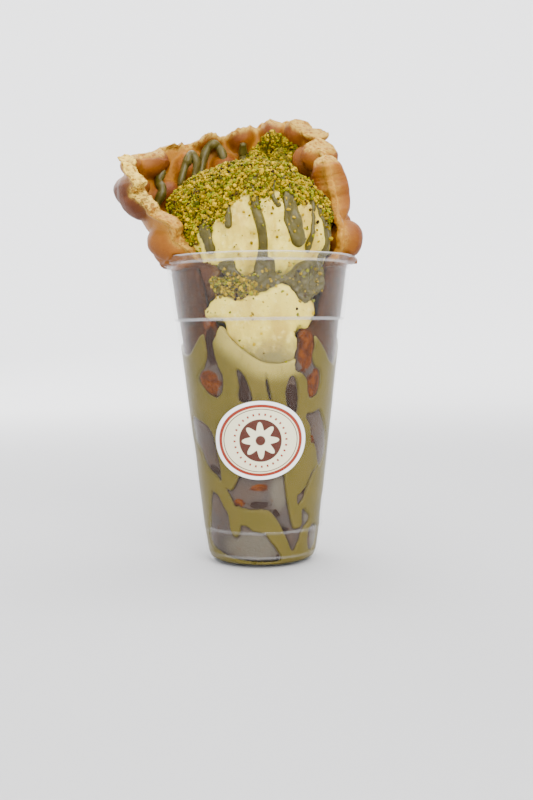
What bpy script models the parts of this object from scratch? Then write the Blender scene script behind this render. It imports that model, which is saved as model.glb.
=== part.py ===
"""Bubble waffle rolled into a cone in a clear tumbler, filled with ice cream, drizzled with nut cream
and topped with crushed nuts. Metres, +Z up, origin at the centre of the tumbler's base, front at -Y."""

import math
import random

import bmesh
import bpy
from mathutils import Matrix, Vector, noise
from mathutils.bvhtree import BVHTree

# Tumbler
CUP_HEIGHT = 0.1525
CUP_WALL = 0.001
CUP_FLOOR = 0.0014
CUP_RADIUS = 0.0350
CUP_STEPS = 36
FOOT_RADIUS = 0.0243
FOOT_CORNER = 0.0035
FOOT_CORNER_TURNS = (22, 55, 90)
PUNT_INNER = 0.009
PUNT_OUTER = 0.021
PUNT_DEPTH = 0.0008
BEAD = 0.0006
LOW_BEADS = (0.0055, 0.0180)
SHOULDER = 0.1215
SHOULDER_STEP = 0.0008
TAPER = ((0.0035, 0.0280), (0.0180, 0.0303), (SHOULDER, 0.0420), (0.1490, 0.0454))
LIP_RADIUS = 0.0492
LIP_DROP = 0.0037
SCREW_MERGE = 0.0001

# Label on the tumbler's front
LABEL_WIDTH = 0.046
LABEL_HEIGHT = 0.038
LABEL_CENTRE = 0.0640
LABEL_TURN = math.radians(-2.0)
LABEL_GAP = 0.0003
LABEL_THICKNESS = 0.0004
LABEL_RINGS = 3
LABEL_SPOKES = 28

# Waffle sheet: u counts bubbles across it from the middle of the back, v counts rows of bubbles up it
BUBBLES_ACROSS = 9
BUBBLE_ROWS = 10
HALF_ACROSS = BUBBLES_ACROSS / 2
STEPS_ACROSS = 4
STEPS_PER_ROW = 4
STEPS_PER_ROW_IN_CUP = 2
ROWS_IN_CUP = 7
SHEET_FOOT = 0.0050
SHEET_AT_RIM = 0.1490
WEB = 0.0018
BUBBLE_HEIGHT = 0.0096
PRESSED_HEIGHT = 0.0054
PRESSED_BELOW = 0.1400
FULL_ABOVE = 0.1580
CAP_POWER = 0.55
BUBBLE_RADIUS = 0.47
BUBBLE_SHIFT = 0.05
BUBBLE_SIZES = (0.92, 1.06)
TORN_HEIGHT_LEFT = 0.0040
TORN_HEIGHT_RIGHT = 0.0026
TORN_WIDTH = 0.42
SCALLOP = 0.0050
WALL_GAP = 0.0028
# Waves of the torn side edges, each as radians a row, share and start. They begin between two rows,
# run a little faster up the left edge than up the right one, and die away across the sheet
TEAR = 0.14
TEAR_WAVES = ((4.1, 1.0, 0.0), (9.7, 0.6, 1.0))
TEAR_BEGINS = (3.0, 5.0)
TEAR_SPEED_LEFT = 1.1
TEAR_SPEED_RIGHT = 0.9
TEAR_FADE = 8
SLOPE_STEP = 0.02
# Height of the sheet's top edge against the share of the way across, from -1 at the left edge to 1
TOP_EDGE = ((-1.0, 0.203), (-0.78, 0.208), (-0.45, 0.219), (-0.12, 0.226), (0.18, 0.230), (0.50, 0.222),
            (0.80, 0.207), (1.0, 0.200))
# How far each side edge lies round from the back, in degrees, against height
LEFT_EDGE = ((0.005, 177), (0.040, 176), (0.060, 166), (0.085, 147), (0.120, 134), (0.147, 138), (0.159, 130),
             (0.171, 120), (0.181, 115), (0.205, 97))
RIGHT_EDGE = ((0.005, 177), (0.040, 176), (0.060, 166), (0.085, 149), (0.120, 132), (0.147, 116),
              (0.160, 111), (0.175, 106), (0.205, 99))
# How far the sheet leans out past its radius at the rim, against height
FLARE = {
    "back": ((0.148, 0.0), (0.161, 0.0030), (0.190, 0.0060), (0.226, 0.0080)),
    "left": ((0.148, 0.0), (0.152, 0.0050), (0.160, 0.0144), (0.182, 0.0262), (0.205, 0.0315)),
    "right": ((0.148, 0.0), (0.152, 0.0030), (0.161, 0.0070), (0.175, 0.0030), (0.190, -0.0005),
              (0.205, -0.0030)),
    "front": ((0.148, 0.0), (0.205, 0.0040)),
}
# The groove that the tumbler's lip presses into the bubbles on it, as (radius, height)
GROOVE = ((0.0500, 0.1515), (0.0500, 0.1380), (0.0432, 0.1380), (0.0432, 0.1515), (0.0450, 0.1532),
          (0.0480, 0.1532))

# Nut cream in ropes on the inside of the sheet: share across, v at the foot, half width, height in v.
# A rope with no width is one strand, and one with a width is an arch
ROPE_RADIUS = 0.0023
ROPES = (
    (-0.78, 8.30, 0.0, 1.05),
    (-0.56, 8.80, 0.045, 0.85),
    (-0.36, 8.80, 0.062, 0.95),
    (-0.08, 9.00, 0.0, 0.60),
    (0.80, 8.10, 0.0, 1.15),
)
ROPE_STEPS = 8
ROPE_WANDER = 0.015
ROPE_END = 0.75
ROPE_LIFT = 0.4
ROPE_MERGE = 0.00001
ARCH_POWER = 0.6

# Nut cream on the wall inside the tumbler: one thin skin with windows where the waffle presses through.
# Its top edge as height against degrees round from the front, then each window as degrees, height in
# millimetres, half width and half height in millimetres and lean in degrees
SAUCE_THICKNESS = 0.0014
SAUCE_GAP = 0.0006
SAUCE_FOOT = 0.0055
SAUCE_SEAM = math.radians(179)
SAUCE_TOP = ((-180, 0.100), (-150, 0.112), (-120, 0.098), (-90, 0.113), (-56, 0.112), (-40, 0.104),
             (-27, 0.110), (-14, 0.100), (-2, 0.105), (14, 0.101), (28, 0.098), (38, 0.104), (50, 0.113),
             (75, 0.098), (100, 0.114), (135, 0.099), (160, 0.110), (180, 0.100))
SAUCE_TOP_STEPS = 48
SAUCE_SLICE = math.radians(12)
SAUCE_WINDOWS = (
    (-38, 90.0, 5.0, 7.5, 0),
    (-10, 87.0, 2.2, 6.5, 0),
    (36, 90.0, 4.8, 7.5, 10),
    (21, 83.0, 2.2, 7.5, 0),
    (-56, 63.0, 6.0, 10.0, -15),
    (50, 61.0, 5.5, 10.5, 5),
    (-7, 42.0, 11.0, 5.0, 5),
    (17, 27.0, 3.0, 8.5, 25),
    (-55, 28.0, 4.5, 8.0, -25),
    (-18, 13.0, 11.0, 4.8, -12),
    (50, 36.0, 2.2, 6.5, 15),
)
BACK_WINDOWS = 8
BACK_WINDOWS_FROM = math.radians(80)
BACK_WINDOW_SIZE = (0.0050, 0.0105)
BACK_WINDOWS_LOWEST = 0.0260
BACK_WINDOWS_APART = 0.0270
BACK_WINDOW_SIZES = (0.8, 1.1)
BACK_WINDOW_LEAN = 25.0
WINDOW_POINTS = 10
# Share by which a window's edge waves in and out, and the turn of its waves in radians a metre of height
WINDOW_RAGGED = 0.08
WINDOW_TURN = 900.0
# The skin is drawn flat in millimetres, where points this close are one point
FLAT_SCALE = 1000.0
FLAT_MERGE = 0.01

# Ice cream: the scoop on top is one lumpy dome round this centre, over a filling that runs down the cone
SCOOP_CENTRE = Vector((-0.002, -0.007, 0.161))
SCOOP_RADIUS = 0.0362
SCOOP_FOOT = 0.1340
SCOOP_ROUNDNESS = 3
SCOOP_LUMP = 0.0014
SCOOP_LUMP_SCALES = (3.1, 6.3)
# Direction of each side lump from the scoop's centre, how far it stands out, and its spread in radians
SIDE_LUMPS = ((Vector((-0.74, 0.20, 0.42)), 0.009, 0.42), (Vector((0.84, -0.40, 0.18)), 0.003, 0.30),
              (Vector((0.26, 0.50, 0.82)), 0.016, 0.34))
FILLING_FOOT = 0.0120
FILLING_TOP = 0.1335
FILLING_SEGMENTS = 24
FILLING_RINGS = 20
FILLING_SHOULDER = (0.0, 0.80, 0.93)
ICE_GAP = 0.0015
LEAST_REACH = 0.0020
NO_REACH = 0.000001

# Nut cream running down the scoop: degrees round from the front, start and end polar angle, half width
DRIPS = ((-66, 30, 88, 0.0030), (-42, 25, 96, 0.0036), (-22, 30, 88, 0.0028), (4, 35, 108, 0.0034),
         (36, 30, 92, 0.0046), (64, 28, 104, 0.0030), (110, 20, 60, 0.0030), (-120, 20, 60, 0.0030))
DRIP_PROUD = 0.0013
DRIP_STEPS = 6
DRIP_START = 0.75
DRIP_SWELL = 0.2
DRIP_WANDER = math.radians(4)
DRIP_WAVE = 5.0

# Crushed nuts
NUT_SIZES = (0.0013, 0.0023)
NUT_STRETCH = (0.65, 1.25)
NUT_PROUD = 0.3
SCOOP_NUTS = 40
SCOOP_NUTS_REACH = math.radians(54)
WALL_NUTS = 8
WALL_NUTS_AT = (0.95, 9.0)
WALL_NUTS_SPREAD = (0.9, 0.45)
GOLDEN_ANGLE = math.pi * (3 - math.sqrt(5))
SEED = 7

# Colour and roughness of each material, and the angle from which an edge is shaded sharp
CLEAR_PLASTIC = ((0.86, 0.88, 0.90), 0.08)
LABEL_PAPER = ((0.90, 0.89, 0.87), 0.45)
WAFFLE_CRUST = ((0.55, 0.25, 0.07), 0.55)
ICE_CREAM = ((0.88, 0.83, 0.66), 0.50)
NUT_CREAM = ((0.30, 0.29, 0.11), 0.35)
SHARP_ANGLE = math.radians(45)


def through(knots, x):
    """Height at x of the smooth curve through the (x, y) knots, held level past both ends."""
    x = min(max(x, knots[0][0]), knots[-1][0])
    last = len(knots) - 1
    i = max(k for k in range(last) if knots[k][0] <= x)

    def slope(k):
        low, high = max(k - 1, 0), min(k + 1, last)
        return (knots[high][1] - knots[low][1]) / (knots[high][0] - knots[low][0])

    (x0, y0), (x1, y1) = knots[i], knots[i + 1]
    span = x1 - x0
    t = (x - x0) / span
    rise = slope(i) * (t - 2 * t**2 + t**3) + slope(i + 1) * (t**3 - t**2)
    return y0 + (y1 - y0) * (3 * t**2 - 2 * t**3) + span * rise


def smooth(low, high, x):
    """0 below low, 1 above high and a soft step between."""
    t = min(max((x - low) / (high - low), 0.0), 1.0)
    return t * t * (3 - 2 * t)


def clear_scene():
    for old in list(bpy.data.objects):
        bpy.data.objects.remove(old)


def make_collection(name):
    made = bpy.data.collections.new(name)
    bpy.context.scene.collection.children.link(made)
    return made


def material(name, colour, roughness):
    made = bpy.data.materials.new(name)
    made.use_nodes = True
    shader = made.node_tree.nodes["Principled BSDF"]
    shader.inputs["Base Color"].default_value = (*colour, 1.0)
    shader.inputs["Roughness"].default_value = roughness
    shader.inputs["Metallic"].default_value = 0.0
    return made


def object_from(bm, name, collection, finish=None):
    mesh = bpy.data.meshes.new(name)
    bm.to_mesh(mesh)
    bm.free()
    made = bpy.data.objects.new(name, mesh)
    collection.objects.link(made)
    if finish:
        mesh.materials.append(finish)
    return made


def evaluated_mesh(obj):
    """The mesh of obj with its modifiers in place, in its own space."""
    graph = bpy.context.evaluated_depsgraph_get()
    return bpy.data.meshes.new_from_object(obj.evaluated_get(graph))


def cup_outside(z):
    """Outer radius of the tumbler's wall at height z, with the step at its stacking shoulder."""
    low = max(k for k in range(len(TAPER) - 1) if TAPER[k][0] <= max(z, TAPER[0][0]))
    (z0, r0), (z1, r1) = TAPER[low], TAPER[low + 1]
    radius = r0 + (r1 - r0) * (z - z0) / (z1 - z0)
    return radius + SHOULDER_STEP * smooth(SHOULDER - BEAD, SHOULDER + BEAD, z)


def cup_inside(z):
    return cup_outside(z) - CUP_WALL


def cup_profile():
    """Points (radius, height) from the floor's middle, up the inside, over the lip and down the outside."""
    wall_top = CUP_HEIGHT - LIP_DROP
    inside = [(0, CUP_FLOOR + PUNT_DEPTH), (PUNT_OUTER, CUP_FLOOR + PUNT_DEPTH), (FOOT_RADIUS, CUP_FLOOR)]
    levels = (FOOT_CORNER + CUP_FLOOR, LOW_BEADS[1], SHOULDER - 2 * BEAD, SHOULDER + 2 * BEAD, wall_top)
    inside += [(cup_inside(z), z) for z in levels]
    lip_middle = (cup_outside(wall_top) + LIP_RADIUS) / 2
    lip = [(cup_inside(wall_top) + BEAD / 2, CUP_HEIGHT - BEAD)]
    lip += [(cup_outside(wall_top), CUP_HEIGHT), (lip_middle + BEAD, CUP_HEIGHT - BEAD / 2)]
    lip += [(LIP_RADIUS, CUP_HEIGHT - LIP_DROP / 2), (LIP_RADIUS - BEAD, wall_top)]
    lip += [(lip_middle, wall_top - BEAD / 2)]
    outside = [(cup_outside(wall_top - BEAD), wall_top - BEAD)]
    outside += [(cup_outside(SHOULDER + z), SHOULDER + z) for z in (2 * BEAD, -2 * BEAD)]
    for z in reversed(LOW_BEADS):
        outside += [(cup_outside(z + 2 * BEAD), z + 2 * BEAD), (cup_outside(z) + BEAD, z)]
        outside += [(cup_outside(z - 2 * BEAD), z - 2 * BEAD)]
    corner = [(FOOT_RADIUS + FOOT_CORNER * math.cos(a), FOOT_CORNER - FOOT_CORNER * math.sin(a))
              for a in map(math.radians, FOOT_CORNER_TURNS)]
    punt = [(PUNT_OUTER, 0), (PUNT_OUTER - PUNT_DEPTH, PUNT_DEPTH), (PUNT_INNER + PUNT_DEPTH, PUNT_DEPTH),
            (PUNT_INNER, 0), (0, 0)]
    return inside + lip + outside + corner + punt


def make_cup(collection, finish):
    bm = bmesh.new()
    corners = [bm.verts.new((radius, 0, z)) for radius, z in cup_profile()]
    for low, high in zip(corners, corners[1:]):
        bm.edges.new((low, high))
    cup = object_from(bm, "cup", collection, finish)
    turn = cup.modifiers.new("turn", "SCREW")
    turn.steps = turn.render_steps = CUP_STEPS
    turn.use_merge_vertices = True
    turn.merge_threshold = SCREW_MERGE
    return cup


def make_label(collection, finish):
    """A thin oval hugging the front of the tapered wall."""
    bm = bmesh.new()
    middle = bm.verts.new((0, 0, 0))
    turns = [math.tau * k / LABEL_SPOKES for k in range(LABEL_SPOKES)]
    rings = []
    for ring in range(1, LABEL_RINGS + 1):
        half_width = LABEL_WIDTH / 2 * ring / LABEL_RINGS
        half_height = LABEL_HEIGHT / 2 * ring / LABEL_RINGS
        rings.append([bm.verts.new((half_width * math.cos(a), 0, half_height * math.sin(a))) for a in turns])
    for k in range(LABEL_SPOKES):
        after = (k + 1) % LABEL_SPOKES
        bm.faces.new((middle, rings[0][k], rings[0][after]))
        for inner, outer in zip(rings, rings[1:]):
            bm.faces.new((inner[k], outer[k], outer[after], inner[after]))
    bmesh.ops.rotate(bm, verts=bm.verts, cent=(0, 0, 0), matrix=Matrix.Rotation(LABEL_TURN, 3, "Y"))
    for corner in bm.verts:
        across, up = corner.co.x, corner.co.z + LABEL_CENTRE
        radius = cup_outside(up) + LABEL_GAP
        angle = across / radius
        corner.co = (radius * math.sin(angle), -radius * math.cos(angle), up)
    label = object_from(bm, "label", collection, finish)
    thicken = label.modifiers.new("thickness", "SOLIDIFY")
    thicken.thickness = LABEL_THICKNESS
    thicken.offset = 1
    return label


def sheet_height(u, v):
    """Height of the sheet: even rows up to the rim, then rows stretched to the scalloped top edge."""
    if v <= ROWS_IN_CUP:
        return SHEET_FOOT + (SHEET_AT_RIM - SHEET_FOOT) * v / ROWS_IN_CUP
    dip = SCALLOP * (0.5 + 0.5 * math.cos(math.tau * u)) * smooth(BUBBLE_ROWS - 1, BUBBLE_ROWS, v)
    share = (v - ROWS_IN_CUP) / (BUBBLE_ROWS - ROWS_IN_CUP)
    return SHEET_AT_RIM + (through(TOP_EDGE, u / HALF_ACROSS) - SHEET_AT_RIM) * share - dip


def sheet_radius(angle, z):
    """Distance of the middle of the sheet from the tumbler's axis."""
    in_cup = cup_inside(min(z, SHEET_AT_RIM - LIP_DROP)) - PRESSED_HEIGHT - WALL_GAP
    shares = {"back": max(math.cos(angle), 0), "front": max(-math.cos(angle), 0),
              "right": max(math.sin(angle), 0), "left": max(-math.sin(angle), 0)}
    return in_cup + sum(shares[side] ** 2 * through(FLARE[side], z) for side in FLARE)


def sheet_point(u, v):
    z = sheet_height(u, v)
    edge = RIGHT_EDGE if u > 0 else LEFT_EDGE
    angle = u / HALF_ACROSS * math.radians(through(edge, z))
    radius = sheet_radius(angle, z)
    return Vector((radius * math.sin(angle), radius * math.cos(angle), z))


def sheet_outward(u, v):
    """Unit vector square to the sheet, pointing out of the cone."""
    along = sheet_point(u + SLOPE_STEP, v) - sheet_point(u - SLOPE_STEP, v)
    up = sheet_point(u, v + SLOPE_STEP) - sheet_point(u, v - SLOPE_STEP)
    return up.cross(along).normalized()


def bubble_centres():
    """(u, v, size) of every bubble, in staggered rows, each a little off its place and size."""
    draw = random.Random(SEED)
    made = []
    for row in range(BUBBLE_ROWS):
        first = -HALF_ACROSS if row % 2 else 0.5 - HALF_ACROSS
        for column in range(BUBBLES_ACROSS + row % 2):
            u = first + column + draw.uniform(-BUBBLE_SHIFT, BUBBLE_SHIFT)
            v = row + 0.5 + draw.uniform(-BUBBLE_SHIFT, BUBBLE_SHIFT)
            made.append((u, v, draw.uniform(*BUBBLE_SIZES)))
    return made


BUBBLES = bubble_centres()


def sheet_thickness(u, v):
    """Half the sheet's thickness: thin webs between bubbles, which are squeezed inside the tumbler."""
    swell = 0.0
    for bubble_u, bubble_v, size in BUBBLES:
        reach = ((u - bubble_u) ** 2 + (v - bubble_v) ** 2) / BUBBLE_RADIUS**2
        if reach < 1:
            swell = max(swell, size * (1 - reach) ** CAP_POWER)
    full = smooth(PRESSED_BELOW, FULL_ABOVE, sheet_height(u, v))
    height = PRESSED_HEIGHT + (BUBBLE_HEIGHT - PRESSED_HEIGHT) * full
    most = 1 + (BUBBLE_SIZES[1] - 1) * full
    whole = max(WEB, height * min(swell, most))
    torn = 1 - smooth(0.0, TORN_WIDTH, HALF_ACROSS - abs(u))
    torn_height = TORN_HEIGHT_RIGHT if u > 0 else TORN_HEIGHT_LEFT
    return whole + (torn_height - whole) * torn


def torn_edge(v):
    """How far the side edges wander off a straight line at row v, in bubbles."""
    wave = sum(share * math.sin(rate * v + start) for rate, share, start in TEAR_WAVES)
    return TEAR * wave * smooth(*TEAR_BEGINS, v)


def make_waffle(collection, finish):
    """The sheet as a grid that Solidify thickens into bubbles, with its side edges torn."""
    bm = bmesh.new()
    steps_in_cup = ROWS_IN_CUP * STEPS_PER_ROW_IN_CUP
    steps = steps_in_cup + (BUBBLE_ROWS - ROWS_IN_CUP) * STEPS_PER_ROW
    bmesh.ops.create_grid(bm, x_segments=BUBBLES_ACROSS * STEPS_ACROSS, y_segments=steps, size=1.0)
    most = BUBBLE_HEIGHT * BUBBLE_SIZES[1]
    weights = []
    for corner in bm.verts:
        step = (corner.co.y + 1) / 2 * steps
        above_rim = max(step - steps_in_cup, 0) / STEPS_PER_ROW
        v = min(step, steps_in_cup) / STEPS_PER_ROW_IN_CUP + above_rim
        share = corner.co.x
        speed = TEAR_SPEED_LEFT if share < 0 else TEAR_SPEED_RIGHT
        u = share * HALF_ACROSS - share * abs(share) ** TEAR_FADE * torn_edge(v * speed)
        corner.co = sheet_point(u, v)
        weights.append(sheet_thickness(u, v) / most)
    bmesh.ops.recalc_face_normals(bm, faces=bm.faces)
    waffle = object_from(bm, "waffle", collection, finish)
    group = waffle.vertex_groups.new(name="thickness")
    for index, weight in enumerate(weights):
        group.add([index], weight, "REPLACE")
    thicken = waffle.modifiers.new("thickness", "SOLIDIFY")
    thicken.thickness = 2 * most
    thicken.offset = 0
    thicken.vertex_group = group.name
    return waffle


def groove_for_lip(cutters):
    """The ring that the lip presses into the waffle, as a cutter."""
    bm = bmesh.new()
    corners = [bm.verts.new((radius, 0, z)) for radius, z in GROOVE]
    for low, high in zip(corners, corners[1:] + corners[:1]):
        bm.edges.new((low, high))
    groove = object_from(bm, "groove_for_lip", cutters)
    turn = groove.modifiers.new("turn", "SCREW")
    turn.steps = turn.render_steps = CUP_STEPS
    turn.use_merge_vertices = True
    turn.merge_threshold = SCREW_MERGE
    groove.hide_render = True
    groove.display_type = "WIRE"
    return groove


def window_outline(degrees, height, half_width, half_height, lean):
    """Points (distance round the wall, height) of one ragged oval window in the nut cream."""
    radius, tilt = cup_inside(height), math.radians(lean)
    points = []
    for k in range(WINDOW_POINTS):
        turn = math.tau * k / WINDOW_POINTS
        waves = math.sin(3 * turn + degrees) + math.sin(2 * turn + height * WINDOW_TURN)
        across = half_width * (1 + WINDOW_RAGGED * waves) * math.cos(turn)
        up = half_height * (1 + WINDOW_RAGGED * waves) * math.sin(turn)
        side = across * math.cos(tilt) + up * math.sin(tilt)
        rise = up * math.cos(tilt) - across * math.sin(tilt)
        points.append((math.radians(degrees) + side / radius, height + rise))
    return points


def sauce_outlines():
    """The skin's own outline first, then its windows, each as points (angle round from the front, height)."""
    top = [-SAUCE_SEAM + 2 * SAUCE_SEAM * k / SAUCE_TOP_STEPS for k in range(SAUCE_TOP_STEPS + 1)]
    outlines = [[(a, through(SAUCE_TOP, math.degrees(a))) for a in top]]
    outlines[0] += [(SAUCE_SEAM, SAUCE_FOOT), (-SAUCE_SEAM, SAUCE_FOOT)]
    for degrees, *sizes, lean in SAUCE_WINDOWS:
        outlines.append(window_outline(degrees, *(size / FLAT_SCALE for size in sizes), lean))
    draw = random.Random(SEED + 3)
    span = math.tau - 2 * BACK_WINDOWS_FROM
    for k in range(BACK_WINDOWS):
        degrees = math.degrees(BACK_WINDOWS_FROM + span * k / (BACK_WINDOWS - 1))
        degrees = degrees if degrees < 180 else degrees - 360
        height = BACK_WINDOWS_LOWEST + BACK_WINDOWS_APART * (k * 2 % 3)
        half_width, half_height = (draw.uniform(*BACK_WINDOW_SIZES) * size for size in BACK_WINDOW_SIZE)
        lean = draw.uniform(-BACK_WINDOW_LEAN, BACK_WINDOW_LEAN)
        outlines.append(window_outline(degrees, height, half_width, half_height, lean))
    return outlines


def make_sauce(collection, finish):
    """The skin is cut flat in millimetres, sliced so that it can bend, and wrapped round inside the wall."""
    flat = bpy.data.curves.new("flat_skin", "CURVE")
    flat.dimensions = "2D"
    flat.fill_mode = "BOTH"
    flat.extrude = FLAT_SCALE * SAUCE_THICKNESS / 2
    for outline in sauce_outlines():
        line = flat.splines.new("POLY")
        line.points.add(len(outline) - 1)
        line.use_cyclic_u = True
        for knot, (angle, height) in zip(line.points, outline):
            knot.co = (FLAT_SCALE * angle * CUP_RADIUS, FLAT_SCALE * height, 0, 1)
    skin = bpy.data.objects.new("flat_skin", flat)
    collection.objects.link(skin)
    mesh = evaluated_mesh(skin)
    bpy.data.objects.remove(skin)
    bm = bmesh.new()
    bm.from_mesh(mesh)
    bmesh.ops.remove_doubles(bm, verts=bm.verts, dist=FLAT_MERGE)
    slices = int(SAUCE_SEAM / SAUCE_SLICE)
    for k in range(-slices, slices + 1):
        everything = list(bm.verts) + list(bm.edges) + list(bm.faces)
        cut_at = (FLAT_SCALE * k * SAUCE_SLICE * CUP_RADIUS, 0, 0)
        bmesh.ops.bisect_plane(bm, geom=everything, dist=FLAT_MERGE, plane_co=cut_at, plane_no=(1, 0, 0))
    for corner in bm.verts:
        across, z, depth = corner.co / FLAT_SCALE
        angle = across / CUP_RADIUS
        off_middle = angle - (math.floor(angle / SAUCE_SLICE) + 0.5) * SAUCE_SLICE
        flat_facet = math.cos(SAUCE_SLICE / 2) / math.cos(off_middle)
        radius = (cup_inside(z) - SAUCE_GAP - SAUCE_THICKNESS / 2 + depth) * flat_facet
        corner.co = (radius * math.sin(angle), -radius * math.cos(angle), z)
    bmesh.ops.recalc_face_normals(bm, faces=bm.faces)
    bmesh.ops.dissolve_limit(bm, angle_limit=SAUCE_SLICE / 4, verts=bm.verts, edges=bm.edges)
    return object_from(bm, "sauce", collection, finish)


def tube(points, radii, name, collection):
    """A round rope through the points, closed at both ends, as a mesh."""
    curve = bpy.data.curves.new(name, "CURVE")
    curve.dimensions = "3D"
    curve.bevel_depth = 1.0
    curve.bevel_resolution = 1
    curve.use_fill_caps = True
    line = curve.splines.new("POLY")
    line.points.add(len(points) - 1)
    for knot, place, radius in zip(line.points, points, radii):
        knot.co = (*place, 1.0)
        knot.radius = radius
    rope = bpy.data.objects.new(name, curve)
    collection.objects.link(rope)
    mesh = evaluated_mesh(rope)
    bpy.data.objects.remove(rope)
    bm = bmesh.new()
    bm.from_mesh(mesh)
    bmesh.ops.remove_doubles(bm, verts=bm.verts, dist=ROPE_MERGE)
    bmesh.ops.recalc_face_normals(bm, faces=bm.faces)
    return object_from(bm, name, collection)


def nut(place, outward, draw, name, collection):
    """A crushed nut: a small angular lump half sunk in what it lies on."""
    bm = bmesh.new()
    size = draw.uniform(*NUT_SIZES)
    bmesh.ops.create_icosphere(bm, subdivisions=1, radius=size)
    bmesh.ops.scale(bm, vec=[draw.uniform(*NUT_STRETCH) for _ in range(3)], verts=bm.verts)
    angle = draw.uniform(0, math.tau)
    turn = Matrix.Rotation(angle, 3, Vector([draw.gauss(0, 1) for _ in range(3)]).normalized())
    bmesh.ops.rotate(bm, verts=bm.verts, cent=(0, 0, 0), matrix=turn)
    bmesh.ops.translate(bm, verts=bm.verts, vec=place + outward * size * NUT_PROUD)
    return object_from(bm, name, collection)


def rope_on_sheet(rope, collection):
    """One rope of nut cream up the inside of the sheet, and for an arch over and down again."""
    share, foot_v, half_width, height = rope
    points, radii = [], []
    for k in range(ROPE_STEPS):
        turn = math.pi * k / (ROPE_STEPS - 1)
        across = -half_width * math.cos(turn) if half_width else ROPE_WANDER * math.sin(2 * turn)
        climb = max(math.sin(turn), 0) ** ARCH_POWER if half_width else turn / math.pi
        u, v = HALF_ACROSS * (share + across), foot_v + height * climb
        depth = sheet_thickness(u, v) + ROPE_LIFT * ROPE_RADIUS
        points.append(sheet_point(u, v) - sheet_outward(u, v) * depth)
        radii.append(ROPE_RADIUS * (ROPE_END + (1 - ROPE_END) * math.sin(turn)))
    tube(points, radii, "rope", collection)


def nuts_on_sheet(collection):
    draw = random.Random(SEED + 1)
    for k in range(WALL_NUTS):
        angle = k * GOLDEN_ANGLE
        reach = math.sqrt((k + 0.5) / WALL_NUTS)
        u = WALL_NUTS_AT[0] + WALL_NUTS_SPREAD[0] * reach * math.cos(angle)
        v = WALL_NUTS_AT[1] + WALL_NUTS_SPREAD[1] * reach * math.sin(angle)
        inward = -sheet_outward(u, v)
        nut(sheet_point(u, v) + inward * sheet_thickness(u, v), inward, draw, "nut", collection)


def fuse(base, toppings):
    """Joins base with everything in the toppings collection into one solid, and drops loose scraps."""
    join = base.modifiers.new("toppings", "BOOLEAN")
    join.operation = "UNION"
    join.operand_type = "COLLECTION"
    join.collection = toppings
    join.solver = "EXACT"
    bm = bmesh.new()
    bm.from_mesh(evaluated_mesh(base))
    keep_largest_body(bm)
    base.modifiers.clear()
    bm.to_mesh(base.data)
    bm.free()
    for topping in list(toppings.objects):
        bpy.data.objects.remove(topping)
    bpy.data.collections.remove(toppings)


def keep_largest_body(bm):
    bodies, seen = [], set()
    for first in bm.verts:
        if first in seen:
            continue
        seen.add(first)
        body, edge = [first], [first]
        while edge:
            for link in edge.pop().link_edges:
                for corner in link.verts:
                    if corner not in seen:
                        seen.add(corner)
                        body.append(corner)
                        edge.append(corner)
        bodies.append(body)
    largest = max(bodies, key=len)
    scraps = [corner for body in bodies if body is not largest for corner in body]
    bmesh.ops.delete(bm, geom=scraps, context="VERTS")


def obstacle(*objects):
    """A tree of the surfaces that the ice cream has to stay clear of."""
    points, faces = [], []
    for obj in objects:
        mesh = evaluated_mesh(obj)
        start = len(points)
        points += [corner.co.copy() for corner in mesh.vertices]
        faces += [[start + index for index in face.vertices] for face in mesh.polygons]
    return BVHTree.FromPolygons(points, faces)


def clear_share(tree, centre, place):
    """How much of the way from the centre to the place is clear of the tree, up to 1."""
    reach = (place - centre).length
    if reach < NO_REACH:
        return 1.0
    distance = tree.ray_cast(centre, (place - centre) / reach)[3]
    return 1.0 if distance is None else min(max(distance - ICE_GAP, LEAST_REACH) / reach, 1.0)


def hold_clear(bm, tree, centre_of):
    """Draws each point in towards its own centre until it, its edges and its faces are clear of the tree."""
    shares = {}
    for corner in bm.verts:
        places = [corner.co] + [(edge.verts[0].co + edge.verts[1].co) / 2 for edge in corner.link_edges]
        places += [face.calc_center_median() for face in corner.link_faces]
        shares[corner] = min(clear_share(tree, centre_of(place), place) for place in places)
    least = {}
    for corner in bm.verts:
        least[corner] = min(shares[other] for edge in corner.link_edges for other in edge.verts)
    for corner, share in least.items():
        centre = centre_of(corner.co)
        corner.co = centre + (corner.co - centre) * share


def scoop_reach(direction):
    """Radius of the scoop in a direction from its centre, with its lumps."""
    reach = SCOOP_RADIUS
    for scale in SCOOP_LUMP_SCALES:
        reach += SCOOP_LUMP * noise.noise(direction * scale)
    for lump, rise, spread in SIDE_LUMPS:
        reach += rise * math.exp(-((direction.angle(lump) / spread) ** 2))
    return reach


def make_scoop(collection, finish, tree):
    bm = bmesh.new()
    bmesh.ops.create_icosphere(bm, subdivisions=SCOOP_ROUNDNESS, radius=1.0)
    for corner in bm.verts:
        corner.co = SCOOP_CENTRE + corner.co * scoop_reach(corner.co)
    hold_clear(bm, tree, lambda place: SCOOP_CENTRE)
    for corner in bm.verts:
        corner.co.z = max(corner.co.z, SCOOP_FOOT)
    below = [face for face in bm.faces if all(corner.co.z <= SCOOP_FOOT for corner in face.verts)]
    bmesh.ops.dissolve_faces(bm, faces=below)
    bmesh.ops.triangulate(bm, faces=bm.faces)
    return object_from(bm, "scoop", collection, finish)


def scoop_surface(scoop, direction):
    """Where a ray from the scoop's centre leaves it, and the surface's own normal there."""
    found, place, normal, _ = scoop.ray_cast(SCOOP_CENTRE, direction)
    return (place, normal) if found else (SCOOP_CENTRE + direction * SCOOP_RADIUS, direction)


def polar(round_from_front, from_top):
    return Vector((math.sin(round_from_front) * math.sin(from_top),
                   -math.cos(round_from_front) * math.sin(from_top), math.cos(from_top)))


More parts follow.
